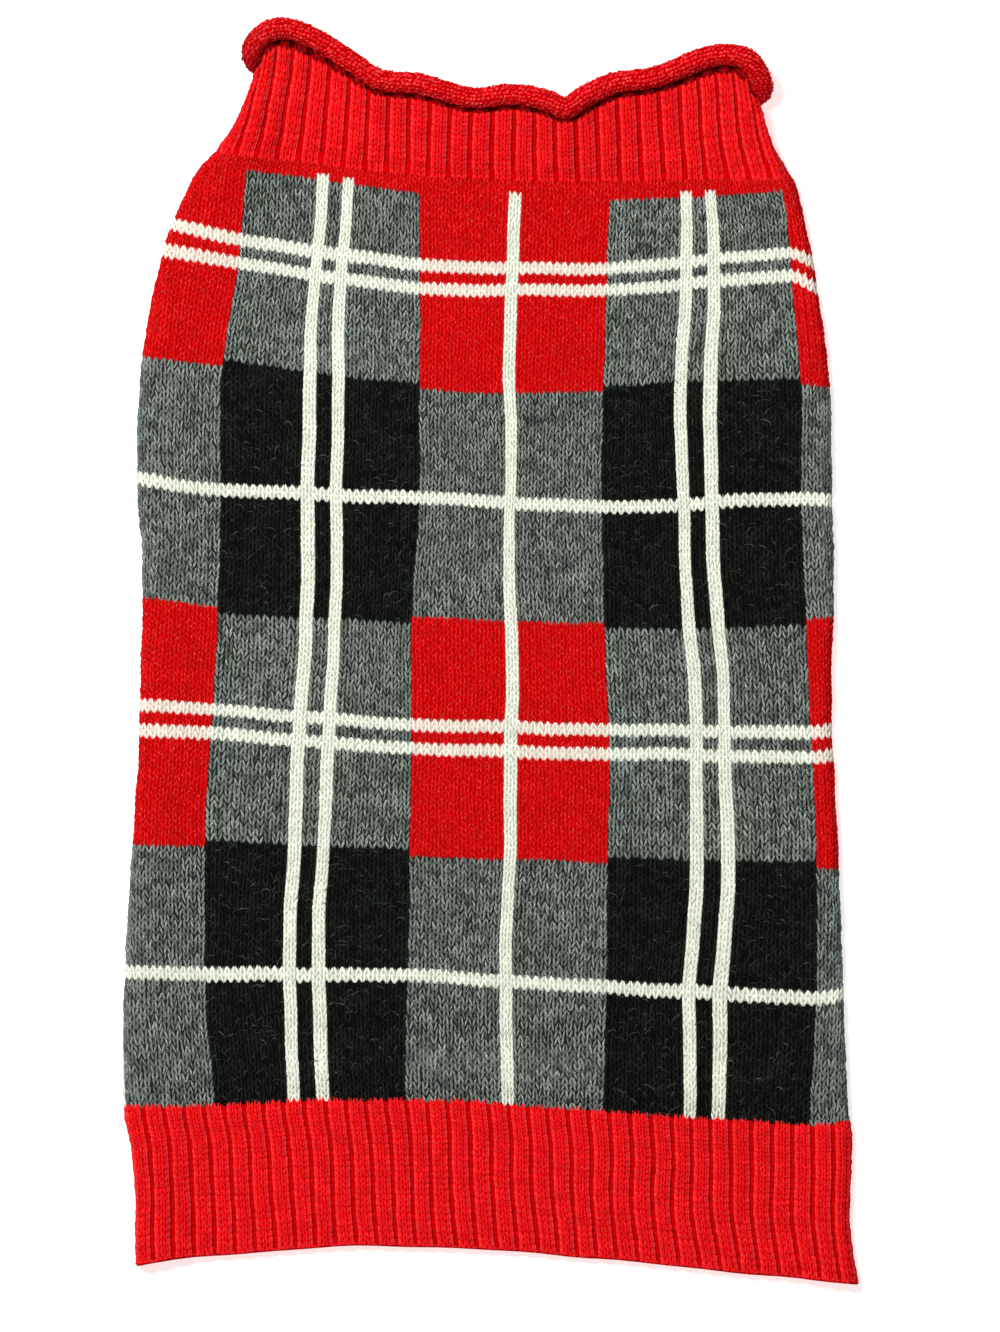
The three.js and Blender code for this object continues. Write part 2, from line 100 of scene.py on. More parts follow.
# x, then the middle of the rolled edge at the top layer and at the underside
ROLL_LINE = np.array([
    [-88, 231, 220], [-83, 234.6, 221.8], [-76, 235.2, 224.6], [-65.4, 230.6, 226.6],
    [-53.7, 223.6, 222], [-42, 216.6, 215.6], [-27.2, 214.8, 213.6], [-17, 211.9, 210.9],
    [-6, 209, 208.2], [9.5, 210.4, 209.2], [22, 208.4, 207.4], [29.1, 205.6, 205],
    [36, 209.6, 208.6], [47.3, 214.8, 213.4], [60.9, 217, 215.6], [72, 221, 218.6],
    [82, 224.8, 218.2], [91, 225.6, 213.4], [97, 223.6, 209.6], [101, 218, 207],
])
# x, y, half length, half width, rise, turn from the X axis in degrees
SWELLS = np.array([
    [-40, 112, 62, 15, 0.9, 8],
    [70, 30, 55, 13, 0.8, -14],
    [-92, -25, 60, 10, 0.8, 82],
    [113, 60, 85, 6, -0.4, 88],
    [20, -158, 95, 10, 1.0, -3],
    [-60, -96, 48, 12, 0.7, 12],
    [88, -95, 60, 9, 0.9, 76],
])


# %% [markdown]
# ## Where a point of the cloth lies
# A smooth curve through a table's rows gives any line between them. Across each line the cloth runs
# from the middle of the underside round the left fold, over the top and round the right fold. A
# stitch's place is then a course and a length along that girth.

# %% Curves through the tables
def curve_through(places, values):
    places, values = np.asarray(places, float), np.asarray(values, float)
    last = len(places) - 1
    index = np.arange(last + 1)
    before, after = np.maximum(index - 1, 0), np.minimum(index + 1, last)
    slopes = (values[after] - values[before]) / (places[after] - places[before])

    def read(place):
        p = np.clip(place, places[0], places[-1])
        i = np.clip(np.searchsorted(places, p, side="right") - 1, 0, last - 1)
        run = places[i + 1] - places[i]
        t = (p - places[i]) / run
        left = values[i] * (1 + 2 * t) + slopes[i] * run * t
        right = values[i + 1] * (3 - 2 * t) - slopes[i + 1] * run * (1 - t)
        return left * (1 - t) ** 2 + right * t ** 2

    return read


def columns_of(table):
    """A curve for each column of a table after the first, read by what the first one holds."""
    return [curve_through(table[:, 0], column) for column in table.T[1:]]


line_curves = columns_of(LINES)
roll_top, roll_under = columns_of(ROLL_LINE)
collar_left, collar_right = columns_of(COLLAR_SIDES)


# %% One line of the body, the hem or the collar
def body_line(course, shift_y=0.0):
    at = [float(curve(course)) for curve in line_curves]
    xs, ys = at[:len(KNOTS)], [y + shift_y for y in at[len(KNOTS):]]
    curve = curve_through(xs, ys)
    return {
        "left": xs[0], "right": xs[-1], "knots": xs,
        "y": lambda x, *facing: curve(x), "crowd": lambda part: part,
    }


def roll_y(x, out_z):
    return roll_top(x) + (roll_under(x) - roll_top(x)) * (1 - out_z) / 2


def rim_y(x, out_x, out_z):
    """The ribbing's edge: as low as the lowest of the roll's round sections beside this place."""
    around = FOLD_DEEP + ROLL_RADIUS - RIB_WALL
    edges = []
    for step in np.linspace(-ROLL_SEAT, ROLL_SEAT, SEAT_STEPS + 1):
        tipped = np.clip(out_z - step * out_x / around, -1, 1)
        down = math.sqrt(max(ROLL_SEAT ** 2 - step ** 2, 0))
        edges.append(roll_y(x + step * out_z, tipped) - down)
    return np.min(edges, axis=0)


def collar_line(up):
    seam = body_line(BODY_TOP, SEAM_GAP / 2)
    left, right = float(collar_left(up)), float(collar_right(up))
    rim_left, rim_right = float(collar_left(1)), float(collar_right(1))

    def y(x, out_x=0.0, out_z=1.0):
        across = (x - left) / (right - left)
        seam_y = seam["y"](seam["left"] + (seam["right"] - seam["left"]) * across)
        edge_y = rim_y(rim_left + (rim_right - rim_left) * across, out_x, out_z)
        return seam_y + (edge_y - seam_y) * up

    def crowd(part):
        """Away from its sides the ribs go straight on from the seam, and at its sides they crowd."""
        from_left = (left - seam["left"]) * (np.exp(-part / RIB_SQUEEZE) - 1)
        from_right = (right - seam["right"]) * np.exp((part - 1) / RIB_SQUEEZE)
        place = (part * (seam["right"] - seam["left"]) + from_left + from_right) / (right - left)
        return np.clip(place, 0, 1)

    return {"left": left, "right": right, "y": y, "crowd": crowd}


# %% The girth: one line's outer face, read by length along it
FOLD_POINTS, TOP_POINTS = 24, 120


def swell(x, y):
    total = np.zeros_like(x, dtype=float)
    for sx, sy, half_long, half_wide, rise, turn in SWELLS:
        c, s = math.cos(math.radians(turn)), math.sin(math.radians(turn))
        along, aside = (x - sx) * c + (y - sy) * s, (y - sy) * c - (x - sx) * s
        total += rise * np.exp(-((along / half_long) ** 2) - (aside / half_wide) ** 2)
    return total


def girth(line, wall):
    flat_top, fold_mid = 2 * wall + AIR, FOLD_HIGH / 2
    start, end = line["left"] + FOLD_DEEP, line["right"] - FOLD_DEEP

    def top_z(x):
        near = np.minimum(x - start, end - x)
        ease = 0.5 + 0.5 * np.cos(np.pi * np.minimum(near / FOLD_RUNOUT, 1))
        return flat_top + (FOLD_HIGH - flat_top) * ease + (1 - ease) * swell(x, line["y"](x))

    angle = (np.arange(FOLD_POINTS + 1) / FOLD_POINTS - 0.5) * np.pi
    out = np.stack([-np.cos(angle) / FOLD_DEEP, np.sin(angle) / fold_mid], 1)
    out /= np.linalg.norm(out, axis=1)[:, None]
    left = np.column_stack([start - FOLD_DEEP * np.cos(angle), fold_mid * (1 + np.sin(angle)), out])
    right = left[::-1].copy()
    right[:, 0] = end + start - right[:, 0]
    right[:, 2] *= -1
    x = start + (end - start) * np.arange(1, TOP_POINTS) / TOP_POINTS
    tilt = np.column_stack([top_z(x - 0.5) - top_z(x + 0.5), np.ones_like(x)])
    tilt /= np.linalg.norm(tilt, axis=1)[:, None]
    middle = np.array([[(start + end) / 2, 0, 0, -1]])
    points = np.vstack([middle, left, np.column_stack([x, top_z(x), tilt]), right, middle])
    run = np.concatenate([[0], np.cumsum(np.hypot(*(points[1:, :2] - points[:-1, :2]).T))])
    top = slice(FOLD_POINTS + 1, FOLD_POINTS + 1 + TOP_POINTS)
    return {
        "points": points, "run": run, "start": run[1], "end": run[-2],
        "top_x": points[top, 0], "top_run": run[top],
    }


def on_girth(track, s):
    s = np.clip(s, 0, track["run"][-1])
    found = np.column_stack([np.interp(s, track["run"], track["points"][:, i]) for i in range(4)])
    found[:, 2:] /= np.linalg.norm(found[:, 2:], axis=1)[:, None]
    return found


def top_at(track, x):
    return np.interp(x, track["top_x"], track["top_run"])


# %% [markdown]
# A row of cloth points can lie on the wall's outer face or at any depth under it. Ribs raise the
# outer face, and the collar climbs over the rolled edge that lies under it.

# %% A row of cloth points at one depth
# how far, then how fast in x and in y, then where it starts
WANDER = (
    (0.26, 0.11, 0.031, 0.4), (0.2, -0.07, 0.083, 2.1),
    (0.17, 0.19, -0.052, 4.0), (0.12, 0.05, 0.23, 5.2),
)


def wander(x, y, phase):
    return sum(a * np.sin(fx * x + fy * y + p + phase) for a, fx, fy, p in WANDER)


def placed(x, y, z):
    """From table millimetres to the frame's metres, with the small unevenness of hand-laid cloth."""
    aside, along = wander(x, y, 0.0), 0.7 * wander(x, y, 1.7)
    at = (x + aside - TABLE_MIDDLE[0], y + along - TABLE_MIDDLE[1], z)
    return np.stack(np.broadcast_arrays(*at), -1) * MM


def cloth_row(line, track, lengths, depth, rise=0.0, lift=0.0):
    at = on_girth(track, np.asarray(lengths, float))
    high = rise - depth
    y = line["y"](at[:, 0], at[:, 2], at[:, 3])
    return placed(at[:, 0] + at[:, 2] * high, y, at[:, 1] + at[:, 3] * high + lift)


def grid_at(rows_of, depth):
    return np.array([cloth_row(depth=depth, **row) for row in rows_of])


# %% [markdown]
# ## Which yarn each stitch is
# The panel is charted as such a pattern is knitted: five columns of squares and four rows of them.
# Red and grey squares take turns with grey and black ones, and cream-white lines two stitches wide
# run over them, single in one column or row and double in the next.

# %% The colour chart as a rule
RED, GREY, BLACK, WHITE, BLUSH = range(5)
SINGLE_LINE, DOUBLE_LINE = (12, 13), (10, 11, 14, 15)  # wales within a column
WHITE_COURSES = (10, 11, 14, 15, 50, 51, 87, 88, 91, 92, 129, 130)
PALE_ROWS = ((0, 32), (70, 110))  # courses of the red and grey rows; the black ones are between
BLACK_GROWS = 1  # a black square is one course longer at each end


def yarn_at(course, wale):
    column, within = divmod(wale, COLUMN_WALES)
    dark = column % 2 == 0
    if within in (DOUBLE_LINE if dark else SINGLE_LINE) and course >= -1:
        return WHITE
    if course < 0:
        return RED
    less = BLACK_GROWS if dark else 0
    pale = any(a + (less if a else 0) <= course < b - less for a, b in PALE_ROWS)
    if course in WHITE_COURSES:
        return BLUSH if pale and not dark else WHITE
    if pale:
        return GREY if dark else RED
    return BLACK if dark else GREY


# %% [markdown]
# The white lines wander a little to the left and right as hand-laid cloth does, so the middle of each
# visible column has its own place in a table.

# %% The stitch chart of the back panel: one face for each stitch
WHITE_WALE = 0.84  # the white yarn is pulled tighter than the rest
# course, then the middle of the columns B, C and D
MIDDLES = np.array([
    [0, -58.2, 9.3, 79.0], [8, -59.3, 8.7, 79.3], [20, -61.7, 8.2, 78.8], [30, -62.5, 7.6, 77.5],
    [40, -63.0, 7.9, 77.5], [51, -63.6, 7.4, 78.4], [60, -63.1, 7.2, 79.2], [70, -63.7, 7.7, 80.7],
    [80, -64.3, 8.3, 82.5], [90, -65.8, 7.9, 83.1], [100, -67.4, 7.7, 83.6], [110, -68.5, 7.7, 83.8],
    [120, -70.2, 6.7, 82.8], [130, -70.6, 6.3, 81.0], [140, -69.9, 5.9, 81.1], [149, -68.6, 6.6, 80.6],
])
middle_curves = columns_of(MIDDLES)


def panel_line(course):
    """A line of the back and the belly, half a seam's gap back from its neighbour at each end."""
    return body_line(course, {BODY_TOP: -SEAM_GAP / 2, BODY_END: SEAM_GAP / 2}.get(course, 0.0))


def half_parts(white):
    """Where the wales of half a column end, from 0 at its edge to 1 at its middle."""
    widths = [WHITE_WALE if w in white else 1.0 for w in range(COLUMN_WALES // 2)]
    return np.cumsum(widths) / sum(widths)


def panel_places(track, knots, course):
    edges = top_at(track, np.minimum(knots[1:5], track["top_x"][-1]))
    middles = top_at(track, [float(curve(course)) for curve in middle_curves])
    edges = [edges[0] - COLUMN, *edges, edges[3] + COLUMN]
    middles = [(edges[0] + edges[1]) / 2, *middles, (edges[4] + edges[5]) / 2]
    places = [edges[0]]
    for i, middle in enumerate(middles):
        parts = half_parts(SINGLE_LINE if i % 2 == 0 else DOUBLE_LINE)
        places += list(edges[i] + (middle - edges[i]) * parts)
        places += list((edges[i + 1] - (edges[i + 1] - middle) * parts[::-1])[1:]) + [edges[i + 1]]
    return np.array(places)


def panel_row(course):
    line = panel_line(course)
    track = girth(line, PLAIN_WALL)
    return {"line": line, "track": track, "lengths": panel_places(track, line["knots"], course)}


panel_courses = list(range(BODY_TOP, BODY_END + 1))
panel = [panel_row(course) for course in panel_courses]
panel_yarn = np.array([
    [yarn_at(c, w) for w in range(-COLUMN_WALES, 4 * COLUMN_WALES)] for c in panel_courses[:-1]
])
print("back panel, courses by wales:", panel_yarn.shape, "each yarn:", np.bincount(panel_yarn.ravel()))


# %% [markdown]
# ## The yarns
# All five are soft acrylic, spun from two plies. The grey is a heather: light and dark fibres are
# spun together, so it shows as flecks. A shader group holds what they share, and each material sets
# its own values and the shader itself. The group also paints shade on the cloth under the stitches,
# and a painted highlight on each yarn's crown with painted shade on its sides and ends. The ribs, the
# roll and the stray fibres have materials of their own; the legs along a rib's edges are painted
# lighter as a highlight, and the grooves darker as shade.

# %% The shared yarn group
def new_group(tree_kind, name, inputs, outputs):
    tree = bpy.data.node_groups.new(name, tree_kind)
    for label, kind, value in inputs:
        made = tree.interface.new_socket(label, in_out="INPUT", socket_type=f"NodeSocket{kind}")
        if value is not None:
            made.default_value = value
    for label, kind in outputs:
        tree.interface.new_socket(label, in_out="OUTPUT", socket_type=f"NodeSocket{kind}")
    return tree


class Wiring:
    """Adds nodes to a tree and joins their sockets by name."""

    def __init__(self, tree):
        self.tree = tree

    def add(self, kind, settings=None, **inputs):
        node = self.tree.nodes.new(kind)
        for name, value in (settings or {}).items():
            setattr(node, name, value)
        for name, value in inputs.items():
            key = int(name[1:]) if name[0] == "i" and name[1:].isdigit() else name.replace("_", " ")
            self.join(value, node.inputs[key])
        return node

    def join(self, value, socket):
        if isinstance(value, bpy.types.Node):
            value = value.outputs[0]
        if isinstance(value, bpy.types.NodeSocket):
            self.tree.links.new(value, socket)
        else:
            socket.default_value = value

    def math(self, operation, *values):
        given = {f"i{i}": value for i, value in enumerate(values)}
        return self.add("ShaderNodeMath", {"operation": operation}, **given)

    def vector(self, operation, first, second):
        node = self.add("ShaderNodeVectorMath", {"operation": operation}, i0=first)
        self.join(second, node.inputs["Scale" if operation == "SCALE" else 1])
        return node


def set_inputs(node, values):
    for name, value in values.items():
        node.inputs[name].default_value = value


yarn_group = new_group(
    "ShaderNodeTree", "Spun yarn",
    [
        ("Yarn", "Color", (0.5, 0.5, 0.5, 1)),
        ("Light fibre", "Color", (0.8, 0.8, 0.8, 1)),
        ("Dark fibre", "Color", (0.1, 0.1, 0.1, 1)),
        ("Light share", "Float", 0.2),
        ("Dark share", "Float", 0.2),
        ("Streak", "Float", 1.0),
        ("Unevenness", "Float", 0.1),
        ("Depth shade", "Float", 0.6),
        ("Painted ridge shading", "Float", 0.4),
    ],
    [("Colour", "Color"), ("Height", "Float"), ("Roughness", "Float")],
)


PATCH_SIZE, FIBRE_SIZE = 0.018, 0.0004  # metres of cloth to one swing of the noise
STREAKS, LEG_STREAKS = (2.2, 3.4, 1.0), (0.6, 0.9, 1.0)  # swings along and across one stitch
TWIST = (22.0, 5.0)  # how fast the plies turn along and across the yarn
ROUGH, ROUGH_SWING = 0.72, 0.25


def build_yarn_group(tree):
    w = Wiring(tree)
    inputs = w.add("NodeGroupInput").outputs
    place = w.add("ShaderNodeTexCoord").outputs["Object"]
    tone = w.add("ShaderNodeAttribute", {"attribute_name": "tone"}).outputs["Fac"]
    painted_shade = w.add("ShaderNodeAttribute", {"attribute_name": "painted_shade"}).outputs["Fac"]
    lay = w.add("ShaderNodeUVMap", {"uv_map": "yarn_lay"})
    own = w.add(
        "ShaderNodeCombineXYZ", X=w.math("MULTIPLY", tone, 37.0), Y=w.math("MULTIPLY", tone, 91.0))

    def noise(at, scale, detail):
        return w.add("ShaderNodeTexNoise", Vector=at, Scale=scale, Detail=detail).outputs["Fac"]

    def along_yarn(shift, stretch, detail):
        """Noise that runs along the yarn: long streaks, other ones in each stitch."""
        moved = w.vector("ADD", w.vector("MULTIPLY", lay, stretch), own)
        return noise(w.vector("ADD", moved, (shift, shift, 0)), 1.0, detail)

    def share(field, amount):
        """1 where the noise is high enough for this share of the yarn, else 0, with a soft edge."""
        low = w.math("SUBTRACT", 0.72, w.math("MULTIPLY", amount, 0.4))
        return w.add(
            "ShaderNodeMapRange", {"interpolation_type": "SMOOTHSTEP"}, Value=field,
            From_Min=low, From_Max=w.math("ADD", low, 0.1), To_Max=1.0)

    def blend(factor, first, second):
        node = w.add("ShaderNodeMix", {"data_type": "RGBA"}, Factor=factor, i6=first, i7=second)
        return node.outputs[2]

    stretch = w.vector("SCALE", STREAKS, inputs["Streak"])
    light = share(along_yarn(0.0, stretch, 2.0), inputs["Light share"])
    dark = share(along_yarn(31.7, stretch, 2.0), inputs["Dark share"])
    colour = blend(light, inputs["Yarn"], inputs["Light fibre"])
    colour = blend(dark, colour, inputs["Dark fibre"])

    # painted highlight on the yarn's crown, in the light fibre's colour, and painted shade on its sides
    # and ends, in the dark fibre's colour
    lay_x, lay_y = w.add("ShaderNodeSeparateXYZ", Vector=lay).outputs[:2]
    across = w.math("MULTIPLY", w.math("PINGPONG", lay_y, 0.5), 2.0)
    along = w.math("MINIMUM", w.math("MULTIPLY", w.math("PINGPONG", lay_x, 0.5), 3.0), 1.0)
    crown = w.math("MULTIPLY", across, along)
    painted_ridge_shading = w.math("MULTIPLY", w.math("POWER", crown, 2.0), inputs["Painted ridge shading"])
    colour = blend(painted_ridge_shading, colour, inputs["Light fibre"])
    painted_hollow_shade = w.math("POWER", w.math("SUBTRACT", 1.0, crown), 2.0)
    painted_hollow_shade = w.math("MULTIPLY", w.math("MULTIPLY", painted_hollow_shade, inputs["Painted ridge shading"]), 1.5)
    colour = blend(painted_hollow_shade, colour, inputs["Dark fibre"])

    # each stitch, each leg and each patch of cloth is a little lighter or darker
    leg = w.math("MULTIPLY", w.math("SUBTRACT", along_yarn(11.1, LEG_STREAKS, 0.0), 0.5), 1.6)
    patch = w.math("MULTIPLY", w.math("SUBTRACT", noise(place, 1 / PATCH_SIZE, 3.0), 0.5), 0.4)
    swing = w.math("ADD", w.math("ADD", w.math("SUBTRACT", tone, 0.5), patch), leg)
    value = w.math("ADD", 1.0, w.math("MULTIPLY", swing, inputs["Unevenness"]))
    toned = w.add("ShaderNodeHueSaturation", Color=colour, Value=value)
    # painted shade under the stitches: the colour is mixed towards black
    shaded = blend(w.math("MULTIPLY", painted_shade, inputs["Depth shade"]), toned, (0, 0, 0, 1))

    twist = w.math("ADD", w.math("MULTIPLY", lay_x, TWIST[0]), w.math("MULTIPLY", lay_y, TWIST[1]))
    plies = w.math("MULTIPLY", w.math("SINE", twist), 0.35)
    fibre = noise(place, 1 / FIBRE_SIZE, 3.0)
    w.add(
        "NodeGroupOutput", Colour=shaded, Height=w.math("ADD", plies, fibre),
        Roughness=w.math("ADD", ROUGH, w.math("MULTIPLY", fibre, ROUGH_SWING)))


build_yarn_group(yarn_group)


# %% One material for each yarn
FIBRE_HIGH = 0.12 * MM


def yarn_material(
    name, yarn, light, dark, light_share, dark_share, uneven, shade, painted_ridge_shading, streak=1.0, shine=0.07,
):
    material = bpy.data.materials.new(name)
    material.use_nodes = True
    w = Wiring(material.node_tree)
    group = w.add("ShaderNodeGroup", {"node_tree": yarn_group})
    set_inputs(group, {
        "Yarn": (*yarn, 1), "Light fibre": (*light, 1), "Dark fibre": (*dark, 1),
        "Light share": light_share, "Dark share": dark_share, "Streak": streak,
        "Unevenness": uneven, "Depth shade": shade, "Painted ridge shading": painted_ridge_shading,
    })
    bump = w.add("ShaderNodeBump", Height=group.outputs["Height"], Strength=0.5, Distance=FIBRE_HIGH)
    shader = material.node_tree.nodes["Principled BSDF"]
    w.join(group.outputs["Colour"], shader.inputs["Base Color"])
    w.join(group.outputs["Roughness"], shader.inputs["Roughness"])
    w.join(bump, shader.inputs["Normal"])
    set_inputs(shader, {"Specular IOR Level": shine})
    return material


YARNS = {
    RED: yarn_material(
        "red acrylic yarn", (0.64, 0.0, 0.001), (1.0, 0.13, 0.13), (0.56, 0.0, 0.0),
        0.32, 0.2, 0.2, 0.3, 0.07, 1.5, 0.02),
    GREY: yarn_material(
        "grey heather yarn", (0.115, 0.14, 0.12), (0.74, 0.82, 0.75), (0.008, 0.012, 0.010),
        0.37, 0.42, 0.8, 0.8, 0.22, 2.6),
    BLACK: yarn_material(
        "black acrylic yarn", (0.005, 0.0065, 0.005), (0.028, 0.034, 0.027), (0.001, 0.001, 0.001),
        0.36, 0.3, 0.9, 0.65, 0.3, 1.8),
    WHITE: yarn_material(
        "cream white yarn", (0.92, 0.96, 0.82), (1.0, 1.0, 0.93), (0.62, 0.69, 0.54),
        0.3, 0.25, 0.12, 0.5, 0.2, 1.3),
    BLUSH: yarn_material(
        "white yarn over red", (0.93, 0.87, 0.75), (1.0, 0.98, 0.9), (0.86, 0.55, 0.47),
        0.3, 0.25, 0.12, 0.4, 0.2),
}
YARN_NAMES = {RED: "red", GREY: "grey", BLACK: "black", WHITE: "white", BLUSH: "blush"}
RIB_RED = yarn_material(
    "red acrylic yarn of the ribs", (0.82, 0.0, 0.003), (1.0, 0.12, 0.125), (0.66, 0.0, 0.001),
    0.32, 0.2, 0.2, 0.2, 0.2, 2.0, 0.01)
# the edge legs' yarn is painted lighter than the ribs' as a highlight
CORD_RED_PAINTED_HIGHLIGHT = yarn_material(
    "red acrylic yarn at a rib's edge", (1.0, 0.015, 0.02), (1.0, 0.12, 0.125), (0.78, 0.0, 0.001),
    0.42, 0.24, 0.2, 0.25, 0.26, 2.0, 0.01)
# the grooves' yarn is painted darker than the ribs' as shade
GROOVE_RED_PAINTED_SHADE = yarn_material(
    "red acrylic yarn between ribs, painted darker as shade", (0.60, 0.0, 0.001), (0.70, 0.003, 0.004), (0.5, 0.0, 0.0),
    0.2, 0.2, 0.2, 0.2, 0.1, 1.0, 0.02)
STRAY_GREY = yarn_material(
    "stray fibres over black", (0.06, 0.068, 0.056), (0.12, 0.135, 0.11), (0.02, 0.024, 0.02),
    0.4, 0.4, 0.9, 0.0, 0.0)
ROLL_RED = yarn_material(
    "red acrylic yarn of the roll", (0.78, 0.0, 0.003), (1.0, 0.15, 0.155), (0.6, 0.0, 0.001),
    0.42, 0.22, 0.4, 0.3, 0.24, 0.9, 0.01)

# %% [markdown]
# ## The shapes of a stitch
# On the knit side a stitch shows as a V: two legs that start close together and lean outwards, each
# lying over the start of the next. On the purl side it shows as a small arched bump. The ribs have a
# steeper V, one leg alone along each edge and a wide bump in the groove, the hidden belly a lighter
# V, and the roll a rounder bump. Each is drawn once, one stitch wide and one stitch high, as strips
# of few faces, and is then laid thousands of times.

# %% Strips of yarn, and a stitch made of them
def strip(centres, widths, heights):
    """A raised strip of yarn along centre points, three points wide, with a point at each end."""
    centres = np.array(centres, float)
    along = np.gradient(centres, axis=0)
    along /= np.linalg.norm(along, axis=1)[:, None]
    aside = np.column_stack([along[:, 1], -along[:, 0]])
    last = len(centres) - 1
    points, uvs, rows = [], [], []
    for i, (centre, width, height) in enumerate(zip(centres, widths, heights, strict=True)):
        sides = ((0.0, 1.0),) if i in (0, last) else ((-0.5, 0.0), (0.0, 1.0), (0.5, 0.0))
        rows.append([])
        for across, share in sides:
            x, y = centre + aside[i] * width * across
            rows[-1].append(len(points))
            points.append((x, y, height if share else min(height, 0) - 0.3))
            uvs.append((i / last, across + 0.5))
    faces = []
    for low, high in zip(rows, rows[1:]):
        if len(low) == 1:
            faces += [(low[0], high[0], high[1]), (low[0], high[1], high[2])]
        elif len(high) == 1:
            faces += [(low[0], high[0], low[1]), (low[1], high[0], low[2])]
        else:
            faces += [(low[j], high[j], high[j + 1], low[j + 1]) for j in range(2)]
    return points, faces, uvs


def mirrored(part):
    points, faces, uvs = part
    turned = [tuple(reversed(face)) for face in faces]
    return [(-x, y, z) for x, y, z in points], turned, [(u + 5, v + 3) for u, v in uvs]


def stitch(name, parts):
    points, faces, uvs = [], [], []
    for more_points, more_faces, more_uvs in parts:
        base = len(points)
        points += more_points
        faces += [tuple(base + v for v in face) for face in more_faces]
        uvs += more_uvs
    mesh = bpy.data.meshes.new(name)
    mesh.from_pydata(points, [], faces)
    layer = mesh.uv_layers.new(name="yarn_lay")
    for loop in mesh.loops:
        layer.data[loop.index].uv = uvs[loop.vertex_index]
    mesh.update()
    if sum(p.normal.z * p.area for p in mesh.polygons) < 0:
        mesh.flip_normals()
    return bpy.data.objects.new(name, mesh)


# %% The legs of the knit stitches, the bumps of the purl ones and a stray fibre
def leg(start, end, widths, heights, parts=(0, 0.2, 0.5, 0.8, 1)):
    t = np.array(parts)
    x, y = start[0] + (end[0] - start[0]) * t ** 0.85, start[1] + (end[1] - start[1]) * t
    return strip(np.column_stack([x, y]), widths, heights)


def bump(half_wide, high, bow, wide, taper, heights):
    """An arch of yarn across the stitch, bowed down and thinner towards both ends."""
    t = np.array([-1, -0.6, 0, 0.6, 1])
    return strip(np.column_stack([half_wide * t, high - bow * t ** 2]), wide - taper * t ** 2, heights)


def two_legs(name, part):
    return stitch(name, [part, mirrored(part)])


KNIT_START, KNIT_END = (0.05, -0.90), (0.43, 0.66)
knit_stitch = two_legs("knit stitch", leg(
    KNIT_START, KNIT_END, (0, 0.36, 0.42, 0.34, 0), (0.1, 0.8, 0.92, 0.62, 0)))
light_stitch = two_legs("light knit stitch", leg(
    KNIT_START, KNIT_END, (0, 0.4, 0.4, 0), (0.1, 0.88, 0.75, 0), (0, 0.3, 0.75, 1)))
rib_stitch = two_legs("rib stitch", leg(
    (0.14, -0.80), (0.36, 0.62), (0, 0.46, 0.5, 0.44, 0), (0.3, 0.85, 0.92, 0.7, 0.2)))
cord_stitch = stitch("edge leg of a rib", [leg(
    (0.0, -0.7), (0.0, 0.62), (0, 0.9, 1.0, 0.9, 0), (0.3, 0.8, 0.9, 0.8, 0.3))])
groove_stitch = stitch(
    "groove stitch", [bump(0.62, 0.1, 0.2, 1.3, 0.2, (-0.1, 0.8, 1.0, 0.8, -0.1))])
purl_stitch = stitch(
    "purl stitch", [bump(0.56, 0.14, 0.3, 0.85, 0.25, (-0.1, 0.7, 1.0, 0.7, -0.1))])
bead_stitch = stitch(
    "rolled purl stitch", [bump(0.5, 0.1, 0.34, 0.78, 0.3, (-0.3, 0.7, 1.0, 0.7, -0.3))])
hair = [
    (x, y, 0.9 - abs(x))
    for x, y in ((-0.6, -0.25), (-0.18, 0.1), (-0.2, 0.17), (0.24, 0.18), (0.22, 0.25), (0.6, 0))
]
stray_fibre = stitch("stray fibre", [
    (hair, [(0, 1, 2), (1, 3, 4, 2), (3, 5, 4)], [(x, 0.5) for x, _, _ in hair]),
])
SHAPES = (
    stray_fibre, knit_stitch, light_stitch, rib_stitch,
    cord_stitch, groove_stitch, purl_stitch, bead_stitch,
)
for shape in SHAPES:
    print(shape.name, "has", sum(len(p.vertices) - 2 for p in shape.data.polygons), "triangles")


# %% [markdown]
# ## Laying the stitches with Geometry Nodes
# The chart is a mesh with one face for each stitch. The tree keeps the faces of one yarn, makes a
# point of each, turns the stitch to the cloth's own directions, wobbles it a little, scales it to the
# stitch's size and realizes the copies. Hand placing could never follow every fold as evenly.

# %% The tree that lays one yarn's stitches
WOBBLE = 0.06  # the most that a stitch leans, in radians, and that its size differs, as a part of it
WOBBLE_SHIFT = 2.0 * MM  # how far a stitch would move at a wobble of 1


